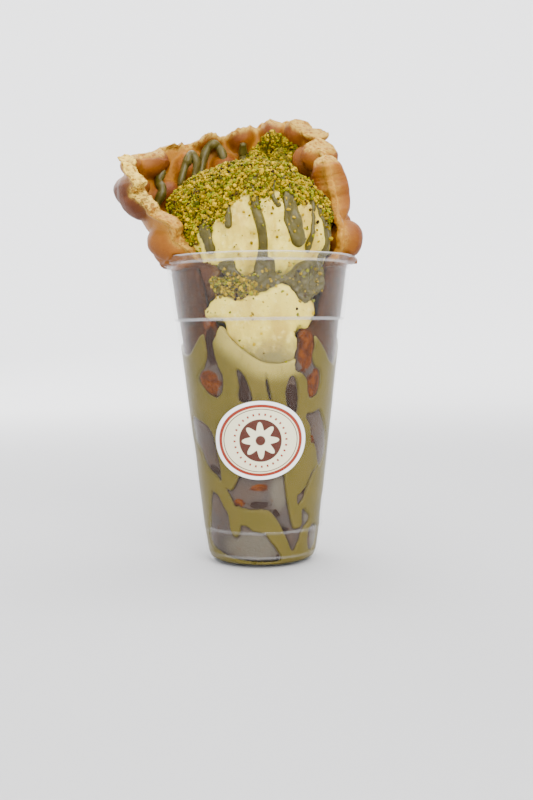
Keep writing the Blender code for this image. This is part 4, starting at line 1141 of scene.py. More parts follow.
def make_waffle_sheet(settings):
    """The sheet as two grids of points, outer and inner, with blunt porous rims where it is torn."""
    rows, columns = sheet_rows(), sheet_columns()
    v, u = np.meshgrid(rows, columns, indexing="ij")
    share = u / HALF_ACROSS
    along, across = stacked(u, v * 0, v * 0), stacked(v, v * 0, v * 0)
    wander = torn_edge(v * np.where(u < 0, 1.1, 0.9)) + layered(across, SIDE_FRAY)
    moved = u - share * np.abs(share) ** 8 * wander
    ragged = layered(along, TOP_FRAY) * smooth(BUBBLE_ROWS - 0.5, BUBBLE_ROWS, v)
    middle, outward = sheet_point(moved, v + ragged), sheet_outward(moved, v)
    half, swell, crumb = sheet_thickness(u, v)
    side_rim = rounded_rim((HALF_ACROSS - np.abs(u)) / RIM_WIDTH)
    top_rim = rounded_rim((BUBBLE_ROWS - v) / TOP_RIM)
    half = np.maximum(half * side_rim * top_rim, 0.5 * TOUCH)
    wrinkle = layered(middle, SHEET_WRINKLES) * side_rim * top_rim
    outer = middle + outward * (half + wrinkle)[..., None]
    inner = middle - outward * (half - wrinkle)[..., None]
    in_cup = 1 - smooth(LIP_TOP - 0.004, LIP_TOP, middle[..., 2])
    top_crumb = (1 - smooth(0.7 * TOP_RIM, 2 * TOP_RIM, BUBBLE_ROWS - v)) * 0.50
    flap = (u < 0) * smooth(0.166, 0.182, middle[..., 2])
    from_side = HALF_ACROSS - np.abs(u) + 0.16 * noise_at(middle, 180, 26)
    rim_crumb = np.maximum(crumb * (0.15 + 0.15 * (u < 0)), flap * (1 - smooth(0.08, 0.18, from_side)))
    open_crumb = np.maximum(rim_crumb, flap * (1 - smooth(0.26, 0.50, from_side)))
    rim_crumb = np.maximum(rim_crumb, top_crumb) * smooth(4.0, 6.0, v)
    open_crumb = np.maximum(open_crumb, top_crumb) * smooth(4.0, 6.0, v)
    # painted shade over the big bubble on the left, fainter on the sheet's inner side
    dark_u, dark_z, dark_width, dark_height = SHADED_BUBBLE
    dark = 1 - smooth(0.6, 1.1, np.hypot((u - dark_u) / dark_width, (middle[..., 2] - dark_z) / dark_height))
    marks = {"swell": swell, "crumb": (rim_crumb, open_crumb), "pressed": in_cup,
             "dark": (dark * (u < 0), 0.25 * dark * (u < 0))}
    keep = np.ones((len(rows) - 1, len(columns) - 1), bool)
    made = closed_sheet("waffle_sheet", clear_of_lip(outer), inner, keep, waffle_crust(settings), marks)
    open_pores(made)
    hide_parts("waffle")
    return made


def open_pores(obj):
    """Sinks pores and crags into the torn crumb, and marks the pores for the painted shade in them."""
    mesh = obj.data
    count = len(mesh.vertices)
    places, normals, crumb = np.empty(count * 3), np.empty(count * 3), np.empty(count, np.float32)
    mesh.vertices.foreach_get("co", places)
    mesh.vertex_normals.foreach_get("vector", normals)
    mesh.attributes["crumb"].data.foreach_get("value", crumb)
    places, normals = places.reshape(-1, 3), normals.reshape(-1, 3)
    torn = crumb > 0.02
    depth, pore = np.zeros(count), np.zeros(count)
    pore[torn] = pores_at(places[torn], PORE_SPACING)
    depth[torn] = PORE_DEPTH * pore[torn] + layered(places[torn], CRUMB_CRAGS)
    places -= normals * (depth * crumb)[:, None]
    mesh.vertices.foreach_set("co", places.ravel())
    mesh.attributes.new("pore", "FLOAT", "POINT").data.foreach_set("value", pore.astype(np.float32))
    mesh.update()


def sheet_top(degrees):
    """Top of the pressed sheet on the wall, in millimetres, against degrees from the front."""
    knots = ((-180, 146), (-44, 146), (-40, 140), (-37, 122), (-33, 120.6), (-27, 112), (-18, 101), (0, 98),
             (22, 98), (28, 112), (32, 117), (42, 120), (46, 128), (52, 146), (180, 146))
    return through(knots, degrees)


def wall_columns(count):
    """Places along the wall from -1 to 1, which wall_degrees turns into degrees."""
    return np.linspace(-0.9999, 0.9999, count)


def wall_degrees(place):
    """Degrees from the front, with columns closer together there than at the back."""
    return 180 * (0.62 * place + 0.38 * place**3)


def back_windows():
    """Gaps in the nut cream round the back of the tumbler, as outlines on the wall."""
    draw = random.Random(SEED + 3)
    span = 360 - 2 * BACK_WINDOWS_FROM
    made = []
    for k in range(BACK_WINDOWS):
        degrees = BACK_WINDOWS_FROM + span * k / (BACK_WINDOWS - 1)
        degrees = degrees if degrees < 180 else degrees - 360
        height = BACK_WINDOWS_LOWEST + BACK_WINDOWS_APART * (k * 2 % 3)
        half_width, half_height = (draw.uniform(0.8, 1.1) * size for size in BACK_WINDOW_SIZE)
        lean = math.radians(draw.uniform(-25, 25))
        corners = []
        for turn in np.linspace(0, math.tau, 12, endpoint=False):
            reach = draw.uniform(0.82, 1.12)
            across, up = half_width * reach * math.cos(turn), half_height * reach * math.sin(turn)
            side = across * math.cos(lean) + up * math.sin(lean)
            corners.append((degrees + side / MM_PER_DEGREE,
                            height + up * math.cos(lean) - across * math.sin(lean)))
        made.append(corners)
    return made


def window_depth(degrees, millimetres):
    """How far each place on the wall is from the nearest window, in millimetres, below 0 inside one."""
    nearest = np.full(np.shape(degrees), 1e3)
    for corners in WINDOWS + tuple(back_windows()):
        outline = rounded_outline(corners)
        low, high = outline.min(axis=0) - (6, 3), outline.max(axis=0) + (6, 3)
        near = ((degrees > low[0]) & (degrees < high[0]) & (millimetres > low[1]) & (millimetres < high[1]))
        if near.any():
            found = outside_distance(outline, degrees[near], millimetres[near])
            nearest[near] = np.minimum(nearest[near], found)
    return nearest


def wall_cream_depth(millimetres, place):
    """How deep inside the nut cream's outline each place on the wall is, in millimetres."""
    degrees = wall_degrees(place)
    ragged = 0.14 * np.sin(degrees * 0.9 + millimetres * 0.5)
    ragged = ragged + 0.10 * np.sin(degrees * 2.1 - millimetres * 1.3)
    top = (through(WALL_CREAM_TOP, degrees) - millimetres) * 0.8
    upright = np.minimum(top, millimetres - WALL_CREAM_FOOT)
    return np.minimum(upright, window_depth(degrees, millimetres) + ragged)


def make_pressed_sheet():
    """The part of the sheet that is pressed on the tumbler's wall, between and behind the nut cream."""
    rows, columns = np.linspace(*PRESSED_ROWS), wall_columns(PRESSED_COLUMNS)

    def depth(millimetres, place):
        return np.minimum(sheet_top(wall_degrees(place)) - millimetres, millimetres - 3.0)

    millimetres, place, inside, keep = outlined_grid(rows, columns, depth)
    degrees = wall_degrees(place)
    window = np.maximum(-window_depth(degrees, millimetres), 0)
    recess = 0.85 - 0.65 * smooth(0.3, 1.6, window)
    lumps = wall_noise(degrees, millimetres, 110, 4)
    recess = recess + 0.5 * blot(SHADE_AND_DARK_STAINS, degrees, millimetres) + 0.22 * np.maximum(lumps, 0)
    recess = recess + 1.6 * (1 - smooth(0, 2.0, inside))
    outer = on_wall(degrees, millimetres, recess * MM)
    inner = on_wall(degrees, millimetres, (recess + PRESSED_THICKNESS) * MM)
    stains = {"crust": CRUST_STAINS, "dark": SHADE_AND_DARK_STAINS, "grey": GREY_STAINS}
    marks = {mark: blot(spots, degrees, millimetres) for mark, spots in stains.items()}
    # painted shadow along the edges of the windows in the nut cream
    marks["edge"] = 1 - smooth(0.25, 1.0, window)
    above = smooth(100, 106, millimetres) * smooth(24, 30, np.abs(degrees))
    marks["crust"] = np.maximum(marks["crust"], 0.75 * above)
    high = smooth(115, 124, millimetres)
    blotches = wall_noise(degrees, millimetres, 75, 32)
    marks["crust"] = np.maximum(marks["crust"], high * smooth(-0.45, -0.05, blotches))
    marks["dark"] = np.maximum(marks["dark"], 0.50 * high * smooth(-0.15, 0.35, blotches))
    made = closed_sheet("pressed_sheet", outer, inner, keep, pressed_crust(), marks)
    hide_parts("waffle")
    return made


def make_wall_cream(settings, finish):
    """Nut cream spread on the wall: flat on the plastic, and rounded off at the edge of each window."""
    rows, columns = np.linspace(*CREAM_ROWS), wall_columns(CREAM_COLUMNS)
    millimetres, place, depth, keep = outlined_grid(rows, columns, wall_cream_depth)
    degrees = wall_degrees(place)
    rise = rounded_rim(depth * MM / settings.edge)
    z = millimetres * MM
    corner = 0.0012 * (1 - smooth(0.0008, 0.0050, z))
    outer = on_wall(degrees, millimetres, 0.0010 - 0.0012 * rise + corner)
    inner = on_wall(degrees, millimetres, 0.0016 + corner)
    pale = 1 - smooth(0, 9, outside_distance(rounded_outline(PRESSED_ICE), degrees, millimetres))
    made = closed_sheet("wall_nut_cream", outer, inner, keep, finish, {"pale": pale})
    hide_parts("sauce")
    return made


def outline_depth(corners):
    """A field for outlined_grid: how deep inside an outline on the wall each place is, in millimetres."""
    outline = rounded_outline(corners)
    return lambda millimetres, degrees: -outside_distance(outline, degrees, millimetres)


def make_saddle(finish):
    """Nut cream pooled between the scoop and the wall, with soft folds."""
    rows, columns = np.linspace(*SADDLE_ROWS), np.linspace(*SADDLE_COLUMNS)
    millimetres, degrees, depth, keep = outlined_grid(rows, columns, outline_depth(SADDLE))
    rise = rounded_rim(depth / 2.6)
    folds = wall_noise(degrees, millimetres, 240, 8, 0.45) + 0.4 * wall_noise(degrees, millimetres, 520, 31)
    outer = on_wall(degrees, millimetres, 0.0052 - (0.0032 + 0.0024 * np.minimum(folds, 0.7)) * rise)
    inner = on_wall(degrees, millimetres, 0.0072)
    made = closed_sheet("pooled_nut_cream", outer, inner, keep, finish)
    return made


def make_cup_nut_bed(finish):
    """The layer under the crushed nuts in the gap between the scoop and the ice cream below it."""
    rows, columns = np.linspace(*CUP_NUT_ROWS), np.linspace(*CUP_NUT_COLUMNS)
    millimetres, degrees, depth, keep = outlined_grid(rows, columns, outline_depth(CUP_NUTS))
    rise = rounded_rim(depth / 2.0)
    lumps = wall_noise(degrees, millimetres, 420, 9)
    outer = on_wall(degrees, millimetres, 0.0040 - (0.0024 + 0.0006 * lumps) * rise)
    inner = on_wall(degrees, millimetres, 0.0060)
    made = closed_sheet("cup_nut_bed", outer, inner, keep, finish)
    return made


def scoop_directions(rows, columns):
    """Unit vectors over the scoop, from its top to its underside, each row a loop round it."""
    polar = np.linspace(0, math.pi, rows)[:, None]
    turn = np.linspace(-math.pi, math.pi, columns, endpoint=False)[None, :]
    return stacked(np.sin(turn) * np.sin(polar), -np.cos(turn) * np.sin(polar), np.cos(polar) + turn * 0)


def scoop_reach(directions, ripple):
    """Radius of the scoop in each direction, with its lumps, dragged ripples and small crags."""
    reach = SCOOP_RADIUS + layered(directions, SCOOP_LUMPS)
    for lump, rise, spread in SIDE_LUMPS:
        angle = np.arccos(np.clip(directions @ np.array(lump.normalized()), -1, 1))
        reach = reach + rise * np.exp(-((angle / spread) ** 2))
    return reach + ripple * layered(directions * (1.0, 1.0, 0.35), SCOOP_RIPPLES)


def clear_reach(tree, directions, reach, sink=0.0006):
    """Shortens each reach where it would run into what the tree holds, leaving it just touching."""
    flat, lengths = directions.reshape(-1, 3), reach.ravel().copy()
    for k, direction in enumerate(flat):
        found = tree.ray_cast(SCOOP_CENTRE, Vector(direction))[3]
        if found is not None:
            lengths[k] = min(lengths[k], max(found + sink, 0.004))
    return lengths.reshape(reach.shape)


def drip_field(directions):
    """How deep inside the nut cream on the scoop each direction is, in millimetres, below 0 outside it."""
    flat = directions.reshape(-1, 3)
    deepest = np.full(len(flat), -1e3)
    for degrees, start, end, half_width in DRIPS:
        shares = np.linspace(0, 1, 9)
        turn = np.radians(degrees) + math.radians(3.5) * np.sin(5 * shares + degrees)
        polar = np.radians(start + (end - start) * shares)
        path = stacked(np.sin(turn) * np.sin(polar), -np.cos(turn) * np.sin(polar), np.cos(polar))
        for (first, last, share) in zip(path, path[1:], shares):
            way = last - first
            t = np.clip((flat - first) @ way / (way @ way), 0, 1)
            apart = np.linalg.norm(flat - first - t[:, None] * way, axis=1) * SCOOP_RADIUS / MM
            place = share + t / (len(shares) - 1)
            swollen = 0.80 + 0.30 * smooth(0.55, 0.95, place) + 0.12 * np.sin(9 * place + degrees)
            deepest = np.maximum(deepest, half_width * swollen - apart)
    return deepest.reshape(directions.shape[:-1])


def nuts_limit(degrees):
    """Polar angle that the crushed nuts reach down to, with a ragged edge."""
    return through(NUTS_REACH, degrees) + 4.5 * np.sin(degrees * 0.21) + 3.0 * np.sin(degrees * 0.53 + 1)


def angles_of(directions):
    """Degrees from the front and polar angle of each direction."""
    degrees = np.degrees(np.arctan2(directions[..., 0], -directions[..., 1]))
    return degrees, np.degrees(np.arccos(np.clip(directions[..., 2], -1, 1)))


def scoop_grid(ripple, tree):
    """Directions over the scoop and how far it reaches in each, clear of what the tree holds."""
    directions = scoop_directions(*SCOOP_GRID)
    return directions, clear_reach(tree, directions, scoop_reach(directions, ripple))


def placed(directions, reach):
    """Points at each reach from the scoop's centre, flattened at the scoop's foot."""
    points = np.array(SCOOP_CENTRE) + directions * reach[..., None]
    points[..., 2] = np.maximum(points[..., 2], SCOOP_FOOT)
    return points


def make_scoop(finish, directions, reach):
    """The round scoop of ice cream that stands out of the tumbler."""
    made = closed_ball("ice_scoop", placed(directions, reach), finish)
    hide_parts("scoop")
    return made


def patch_on_scoop(name, directions, reach, field, height, edge, finish):
    """A layer on the scoop inside a field's outline, from one grid of directions."""
    rows = np.arange(directions.shape[0], dtype=float)
    columns = np.linspace(0.02, directions.shape[1] - 0.02, directions.shape[1] + 1)
    wrapped = np.concatenate([reach, reach[:, :1]], axis=1)

    def direction_at(row, column):
        polar = math.pi * row / (directions.shape[0] - 1)
        turn = math.tau * column / directions.shape[1] - math.pi
        return stacked(np.sin(turn) * np.sin(polar), -np.cos(turn) * np.sin(polar), np.cos(polar))

    row, column, inside, keep = outlined_grid(rows, columns, lambda r, c: field(direction_at(r, c)))
    way = direction_at(row, column)
    low_row = np.clip(row.astype(int), 0, len(rows) - 2)
    low_column = np.clip(column.astype(int), 0, len(columns) - 2)
    part_row, part_column = row - low_row, column - low_column
    near = (wrapped[low_row, low_column] * (1 - part_row) * (1 - part_column)
            + wrapped[low_row + 1, low_column] * part_row * (1 - part_column)
            + wrapped[low_row, low_column + 1] * (1 - part_row) * part_column
            + wrapped[low_row + 1, low_column + 1] * part_row * part_column)
    lift = rounded_rim(inside / edge) * height(way)
    keep[:1] = False
    outer = np.array(SCOOP_CENTRE) + way * (near + lift)[..., None]
    inner = np.array(SCOOP_CENTRE) + way * (near - LAYER_DEPTH)[..., None]
    return closed_sheet(name, outer, inner, keep, finish)


def make_scoop_cream(directions, reach, finish):
    """Nut cream running down the scoop."""
    made = patch_on_scoop("scoop_nut_cream", directions, reach, drip_field,
                          lambda way: DRIP_HEIGHT * (1 + 0.25 * noise_at(way, 9.0, 14)), DRIP_EDGE, finish)
    return made


def bed_field(directions):
    """How deep inside the bed of nuts each direction is, in millimetres, below 0 outside it."""
    degrees, polar = angles_of(directions)
    ragged = 2.2 * noise_at(directions, 9.0, 15)
    return (nuts_limit(degrees) - 5 - polar) * math.radians(SCOOP_RADIUS / MM) + ragged


def make_nut_bed(directions, reach, finish):
    """The layer of nut cream and nut meal that the crushed nuts on the scoop are bedded in."""
    made = patch_on_scoop("nut_bed", directions, reach, bed_field,
                          lambda way: BED_HEIGHT * (1.2 + 0.7 * noise_at(way, 22.0, 16)), BED_EDGE, finish)
    return made


def make_lower_ice_cream(finish, tree):
    """Ice cream down the cone: it meets the wall where the sheet opens at the front, and stays inside it."""
    rows, columns = LOWER_ICE_GRID
    share = np.linspace(0, 1, rows)[:, None]
    fallen = np.clip((share * rows - 3) / (rows - 6), 0, 1) ** 1.25
    millimetres = LOWER_ICE_TOP - (LOWER_ICE_TOP - LOWER_ICE_FOOT) * fallen
    degrees = np.linspace(-180, 180, columns, endpoint=False)[None, :]
    millimetres, degrees = np.broadcast_arrays(millimetres, degrees)
    depth = -outside_distance(rounded_outline(PRESSED_ICE), degrees, millimetres)
    depth = depth + 0.9 * wall_noise(degrees, millimetres, 330, 27)
    z = millimetres * MM
    wall = cup_inside(z)
    recess = wall - 0.0135
    lumps = layered(around(degrees, millimetres, NOISE_RADIUS), LOWER_ICE_LUMPS)
    touch = smooth(-3.2, 1.4, depth)
    hidden = np.zeros(touch.shape)
    for row in range(rows):
        level = Vector((0, 0, float(z[row, 0])))
        for column in range(columns):
            angle = math.radians(float(degrees[row, column]))
            way = Vector((math.sin(angle), -math.cos(angle), 0))
            found = tree.ray_cast(level, way)[3]
            hidden[row, column] = 1.0 if found is None else found + 0.0005
    free = recess + lumps
    radius = free + (wall - 0.00025 - free) * touch - 0.0012 * touch * (1 - smooth(0, 3.5, depth))
    radius = np.minimum(np.where(depth > -1.0, radius, np.minimum(radius, hidden)), wall - 0.0002)
    pole = np.minimum(np.arange(rows), np.arange(rows)[::-1])[:, None]
    radius = radius * np.interp(pole, (0, 1, 2, 3), (0.0, 0.80, 0.93, 1.0))
    points = around(degrees, millimetres, radius)
    made = closed_ball("lower_ice_cream", points, finish)
    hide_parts("filling")
    return made


def make_rope(points, radii, name, finish):
    """A round rope of nut cream through the points, closed at both ends."""
    curve = bpy.data.curves.new(name, "CURVE")
    curve.dimensions = "3D"
    curve.bevel_depth = 1.0
    curve.bevel_resolution = 4
    curve.use_fill_caps = True
    line = curve.splines.new("POLY")
    line.points.add(len(points) - 1)
    for knot, place, radius in zip(line.points, points, radii):
        knot.co = (*place, 1.0)
        knot.radius = radius
    rope = linked(name, curve)
    mesh = evaluated_copy(rope)
    bpy.data.objects.remove(rope)
    face_outwards(mesh)
    mesh.materials.clear()
    mesh.materials.append(finish)
    made = linked(name, mesh)
    mesh.shade_smooth()
    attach(made, "root")
    return made


def make_ropes(finish):
    """Ropes of nut cream up the inside of the sheet, some of them arches."""
    for number, (share, foot_v, half_width, height) in enumerate(ROPES, 1):
        turn = np.linspace(0, math.pi, ROPE_STEPS)
        if half_width:
            across, climb = -half_width * np.cos(turn), np.sin(turn) ** 0.6
        else:
            across, climb = ROPE_WANDER * np.sin(2 * turn), turn / math.pi
        u, v = HALF_ACROSS * (share + across), foot_v + height * climb
        depth = np.convolve(np.pad(sheet_thickness(u, v)[0], 4, "edge"), np.ones(9) / 9, "valid")
        points = sheet_point(u, v) - sheet_outward(u, v) * (depth + ROPE_LIFT * ROPE_RADIUS)[:, None]
        radii = ROPE_RADIUS * (0.72 + 0.28 * np.sin(turn)) * (1 + 0.10 * np.sin(7 * turn + number))
        radii[[0, -1]] *= 0.45
        make_rope(points.tolist(), radii.tolist(), f"rope_{number}", finish)


def grain_tree():
    """Geometry nodes that strew turned grains over a mesh, as thickly as its strewn value says."""
    tree = bpy.data.node_groups.new("strewn_grains", "GeometryNodeTree")
    made = Nodes(tree)
    face = tree.interface
    face.new_socket("Geometry", in_out="INPUT", socket_type="NodeSocketGeometry")
    for name in ("Density", "Smallest", "Largest", "Lift", "Finest Share"):
        face.new_socket(name, in_out="INPUT", socket_type="NodeSocketFloat")
    face.new_socket("Seed", in_out="INPUT", socket_type="NodeSocketInt")
    face.new_socket("Finish", in_out="INPUT", socket_type="NodeSocketMaterial")
    face.new_socket("Geometry", in_out="OUTPUT", socket_type="NodeSocketGeometry")
    given = made.add("NodeGroupInput").outputs
    strewn = made.add("GeometryNodeInputNamedAttribute", {"data_type": "FLOAT"}, {"Name": "strewn"})
    density = Number(made, strewn.outputs["Attribute"]) * Number(made, given["Density"])
    points = made.add("GeometryNodeDistributePointsOnFaces", {"distribute_method": "RANDOM"},
                      {"Mesh": given["Geometry"], "Density": density, "Seed": given["Seed"]})

    def drawn(low, high, seed):
        values = {2: low, 3: high, "Seed": seed}
        return Number(made, made.add("FunctionNodeRandomValue", {"data_type": "FLOAT"}, values).outputs[1])

    def drawn_vector(low, high, seed):
        values = {0: (low, low, low), 1: (high, high, high), "Seed": seed}
        return made.add("FunctionNodeRandomValue", {"data_type": "FLOAT_VECTOR"}, values).outputs[0]

    lift = drawn(-0.15, 1.0, 1) * Number(made, given["Lift"])
    offset = made.add("ShaderNodeVectorMath", {"operation": "SCALE"},
                      {0: points.outputs["Normal"], "Scale": lift}).outputs[0]
    lifted = made.add("GeometryNodeSetPosition", None,
                      {"Geometry": points.outputs["Points"], "Offset": offset})
    share = drawn(0.0, 1.0, 2) ** Number(made, given["Finest Share"])
    smallest, largest = Number(made, given["Smallest"]), Number(made, given["Largest"])
    size = (smallest + share * (largest - smallest)) * 0.5
    shape = {0: drawn_vector(0.55, 1.3, 3), "Scale": size}
    scale = made.add("ShaderNodeVectorMath", {"operation": "SCALE"}, shape).outputs[0]
    rotation = made.add("FunctionNodeEulerToRotation", None, {0: drawn_vector(0, math.tau, 4)}).outputs[0]
    grain = made.add("GeometryNodeMeshIcoSphere", None, {"Radius": 1.0, "Subdivisions": 1}).outputs["Mesh"]
    placing = {"Points": lifted.outputs[0], "Instance": grain, "Rotation": rotation, "Scale": scale}
    strewn_grains = made.add("GeometryNodeInstanceOnPoints", None, placing)
    toned = made.add("GeometryNodeStoreNamedAttribute", {"data_type": "FLOAT", "domain": "INSTANCE"},
                     {"Geometry": strewn_grains.outputs[0], "Name": "tone", "Value": drawn(0.0, 1.0, 5)})
    real = made.add("GeometryNodeRealizeInstances", None, {"Geometry": toned.outputs[0]})
    finished = made.add("GeometryNodeSetMaterial", None,
                        {"Geometry": real.outputs[0], "Material": given["Finish"]})
    made.add("NodeGroupOutput", None, {"Geometry": finished.outputs[0]})
    return tree


def strew(name, surface, tree, values, finish):
    """Grains of one kind over a surface, as a plain mesh."""
    modifier = surface.modifiers.new("grains", "NODES")
    modifier.node_group = tree
    sockets = {item.name: item.identifier for item in tree.interface.items_tree if item.in_out == "INPUT"}
    for socket, value in {**values, "Finish": finish}.items():
        modifier[sockets[socket]] = value
    mesh = evaluated_copy(surface)
    surface.modifiers.remove(modifier)
    made = linked(name, mesh)
    mesh.shade_flat()
    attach(made, "root")
    return made


def scatter_surface(name, points, strewn, wrap):
    """An open surface to strew grains on, with how thickly they lie at each point."""
    rows, columns = points.shape[:2]
    index = np.arange(rows * columns).reshape(rows, columns)
    after = np.roll(index, -1, axis=1)
    last = columns if wrap else columns - 1
    quads = np.stack([index[:-1], index[1:], after[1:], after[:-1]], -1)[:, :last]
    mesh = bpy.data.meshes.new(name)
    mesh.from_pydata(points.reshape(-1, 3).tolist(), [], quads.reshape(-1, 4).tolist())
    strewn_values = mesh.attributes.new("strewn", "FLOAT", "POINT").data
    strewn_values.foreach_set("value", strewn.ravel().astype(np.float32))
    made = linked(name, mesh)
    return made


def joined(name, objects):
    """One object from several, which are removed."""
    bm = bmesh.new()
    for obj in objects:
        bm.from_mesh(obj.data)
        bpy.data.objects.remove(obj)
    mesh = bpy.data.meshes.new(name)
    bm.to_mesh(mesh)
    bm.free()
    made = linked(name, mesh)
    return made


def heap_depth(v, u):
    """How deep inside the heap of nuts on the back of the sheet each place is, in millimetres."""
    middle_u, middle_v, half_width, half_height = HEAP
    reach = np.hypot((u - middle_u) / half_width, (v - middle_v) / half_height)
    return (1 - reach) * 14 + 2.5 * noise_at(stacked(u, v, u * 0), 3.1, 24)


def heap_points(u, v, depth):
    """The heap's surface on the inside of the sheet."""
    lumps = 1 + 0.5 * noise_at(stacked(u, v, u * 0), 4.0, 25)
    lift = HEAP_HEIGHT * rounded_rim(depth / 7.0) * lumps
    return sheet_point(u, v) - sheet_outward(u, v) * (sheet_thickness(u, v)[0] + lift)[..., None]


def make_heap(finish):
    """Nut cream and nut meal under the heap of crushed nuts on the back of the sheet."""
    rows, columns = np.linspace(*HEAP_ROWS), np.linspace(*HEAP_COLUMNS)
    v, u, depth, keep = outlined_grid(rows, columns, heap_depth)
    inner = sheet_point(u, v) - sheet_outward(u, v) * (sheet_thickness(u, v)[0] - 0.0012)[..., None]
    made = closed_sheet("back_nut_bed", heap_points(u, v, depth), inner, keep, finish)
    return made


def nut_surfaces(directions, reach):
    """Where crushed nuts lie: thick on the scoop, in the gap below it, and as loose specks elsewhere."""
    degrees, polar = angles_of(directions)
    bed = bed_field(directions)
    drips = drip_field(directions)
    bed_height = 1.2 * BED_HEIGHT * rounded_rim(bed / BED_EDGE)
    height = reach + np.maximum(bed_height, DRIP_HEIGHT * rounded_rim(drips / DRIP_EDGE))
    clumps = smooth(-0.25, 0.35, noise_at(directions, 8.0, 19))
    below = (polar - nuts_limit(degrees)) * math.radians(SCOOP_RADIUS / MM)
    strewn = 1 - smooth(-3.0, 2.5, below + 3.0 * noise_at(directions, 12.0, 20))
    strewn = np.maximum(strewn, 0.16 * clumps * (1 - smooth(0.0, 14.0, below)))
    strewn = np.maximum(strewn, 0.030) * (placed(directions, height)[..., 2] > 0.142)
    scoop = scatter_surface("scoop_scatter", placed(directions, height), strewn, True)
    rows, columns = np.linspace(100, 146, 60), np.linspace(-44, 46, 120)
    millimetres, around_front = np.meshgrid(rows, columns, indexing="ij")
    pile = -outside_distance(rounded_outline(CUP_NUTS), around_front, millimetres)
    ice = -outside_distance(rounded_outline(PRESSED_ICE), around_front, millimetres)
    saddle = -outside_distance(rounded_outline(SADDLE), around_front, millimetres)
    on_ice = (0.06 + 0.10 * smooth(118, 126, millimetres)) * smooth(0.5, 2.0, ice)
    strewn = np.maximum(1.3 * smooth(-0.6, 1.2, pile), on_ice)
    strewn = np.maximum(strewn, 0.13 * smooth(0.5, 2.0, saddle))
    depth = 0.0007 + 0.0004 * smooth(-1.0, 1.5, pile)
    wall = scatter_surface("wall_scatter", on_wall(around_front, millimetres, depth), strewn, False)
    v, u = np.meshgrid(np.linspace(*HEAP_ROWS), np.linspace(*HEAP_COLUMNS), indexing="ij")
    depth = heap_depth(v, u)
    points = heap_points(u, v, np.maximum(depth, 0))
    heap = scatter_surface("heap_scatter", points, 1.6 * smooth(-1.5, 1.0, depth), False)
    return joined("nut_scatter", [scoop, wall, heap])


def make_crushed_nuts(settings, directions, reach):
    """The crushed nuts, one piece a kind."""
    surface = nut_surfaces(directions, reach)
    tree = grain_tree()
    per_area = settings.density * 1e4
    for kind, (name, share, scale, light, dark, skin) in enumerate(NUT_KINDS):
        values = {"Density": per_area * share, "Smallest": settings.smallest * scale,
                  "Largest": settings.largest * scale, "Lift": GRAIN_LIFT, "Finest Share": 1.8,
                  "Seed": SEED + kind}
        finish = crushed_nut(name[:-1], srgb(*light), srgb(*dark), srgb(*skin))
        strew(name, surface, tree, values, finish)
    bpy.data.objects.remove(surface)


def make_crust_crumbs():
    """Crisp nubs and flakes along the sheet's top edge."""
    span = np.linspace(-HALF_ACROSS, HALF_ACROSS, 240)
    edge = []
    for lift in (-0.05, 0.03):
        points = sheet_point(span, np.full(span.shape, BUBBLE_ROWS + lift))
        edge.append(points)
    strewn = np.tile(0.15 + smooth(0.1, 0.5, noise_at(stacked(span, span * 0, span * 0), 1.7, 21)), (2, 1))
    top = scatter_surface("top_scatter", np.stack(edge), strewn, False)
    finish = crushed_nut("crust_flake", srgb(196, 156, 44), srgb(146, 94, 24), srgb(104, 56, 12))
    values = {"Density": 9e4, "Smallest": 0.0008, "Largest": 0.0030, "Lift": 0.0006, "Finest Share": 2.0,
              "Seed": SEED + 9}
    strew("crust_flakes", top, bpy.data.node_groups["strewn_grains"], values, finish)
    bpy.data.objects.remove(top)


def make_stage():
    """A pale floor that curves up into a round backdrop, seamless from every side."""
    profile = [(0.0, 0.0)] + [(0.12 * k, 0.0) for k in range(1, 10)]
    for degrees in range(5, 95, 5):
        angle = math.radians(degrees)
        profile.append((1.1 + 0.8 * math.sin(angle), 0.8 * (1 - math.cos(angle))))
    profile.append((1.9, 2.2))
    segments = 96
    turn = np.linspace(0, math.tau, segments, endpoint=False)
    radius, z = np.array(profile).T
    points = stacked(radius[:, None] * np.cos(turn), radius[:, None] * np.sin(turn), z[:, None])
    index = np.arange(len(profile) * segments).reshape(-1, segments)
    after = np.roll(index, -1, axis=1)
    faces = np.stack([index[:-1], after[:-1], after[1:], index[1:]], -1).reshape(-1, 4)
    mesh = bpy.data.meshes.new("floor")
    mesh.from_pydata((points.reshape(-1, 3) - (0, 0, 0.0001)).tolist(), [], faces.tolist())
    floor = linked("floor", mesh)
    mesh.materials.append(pale_floor())
    face_outwards(mesh)
    mesh.shade_smooth()


def make_light(settings):
    """Soft area lights and a pale even sky."""
    for name, place, size, power, tint, target in LIGHTS:
        light = bpy.data.lights.new(name, "AREA")
        light.shape = "RECTANGLE"
        light.size, light.size_y = size
        light.energy = power * settings.brightness
        light.color = tint
        lamp = linked(name, light)
        lamp.location = place
        aim = Vector(target) - lamp.location
        lamp.rotation_euler = aim.to_track_quat("-Z", "Y").to_euler()
    world = bpy.data.worlds.new("studio")
    world.use_nodes = True
    background = world.node_tree.nodes["Background"]
    background.inputs["Color"].default_value = (*SKY, 1.0)
    background.inputs["Strength"].default_value = SKY_STRENGTH * settings.brightness
    bpy.context.scene.world = world


def make_camera(settings):
    """The camera at the photo's angle, a little below the lip and turned a trace about its own axis."""
    data = bpy.data.cameras.new("camera")
    data.sensor_width = 36.0
    data.lens = settings.lens
    data.clip_start = 0.01
    camera = linked("camera", data)
    camera.location = CAMERA_PLACE
    pitch, roll = math.radians(90 - CAMERA_DIP), math.radians(CAMERA_ROLL)
    turned = Matrix.Rotation(pitch, 4, "X") @ Matrix.Rotation(roll, 4, "Z")
    camera.rotation_euler = turned.to_euler()
    bpy.context.scene.camera = camera


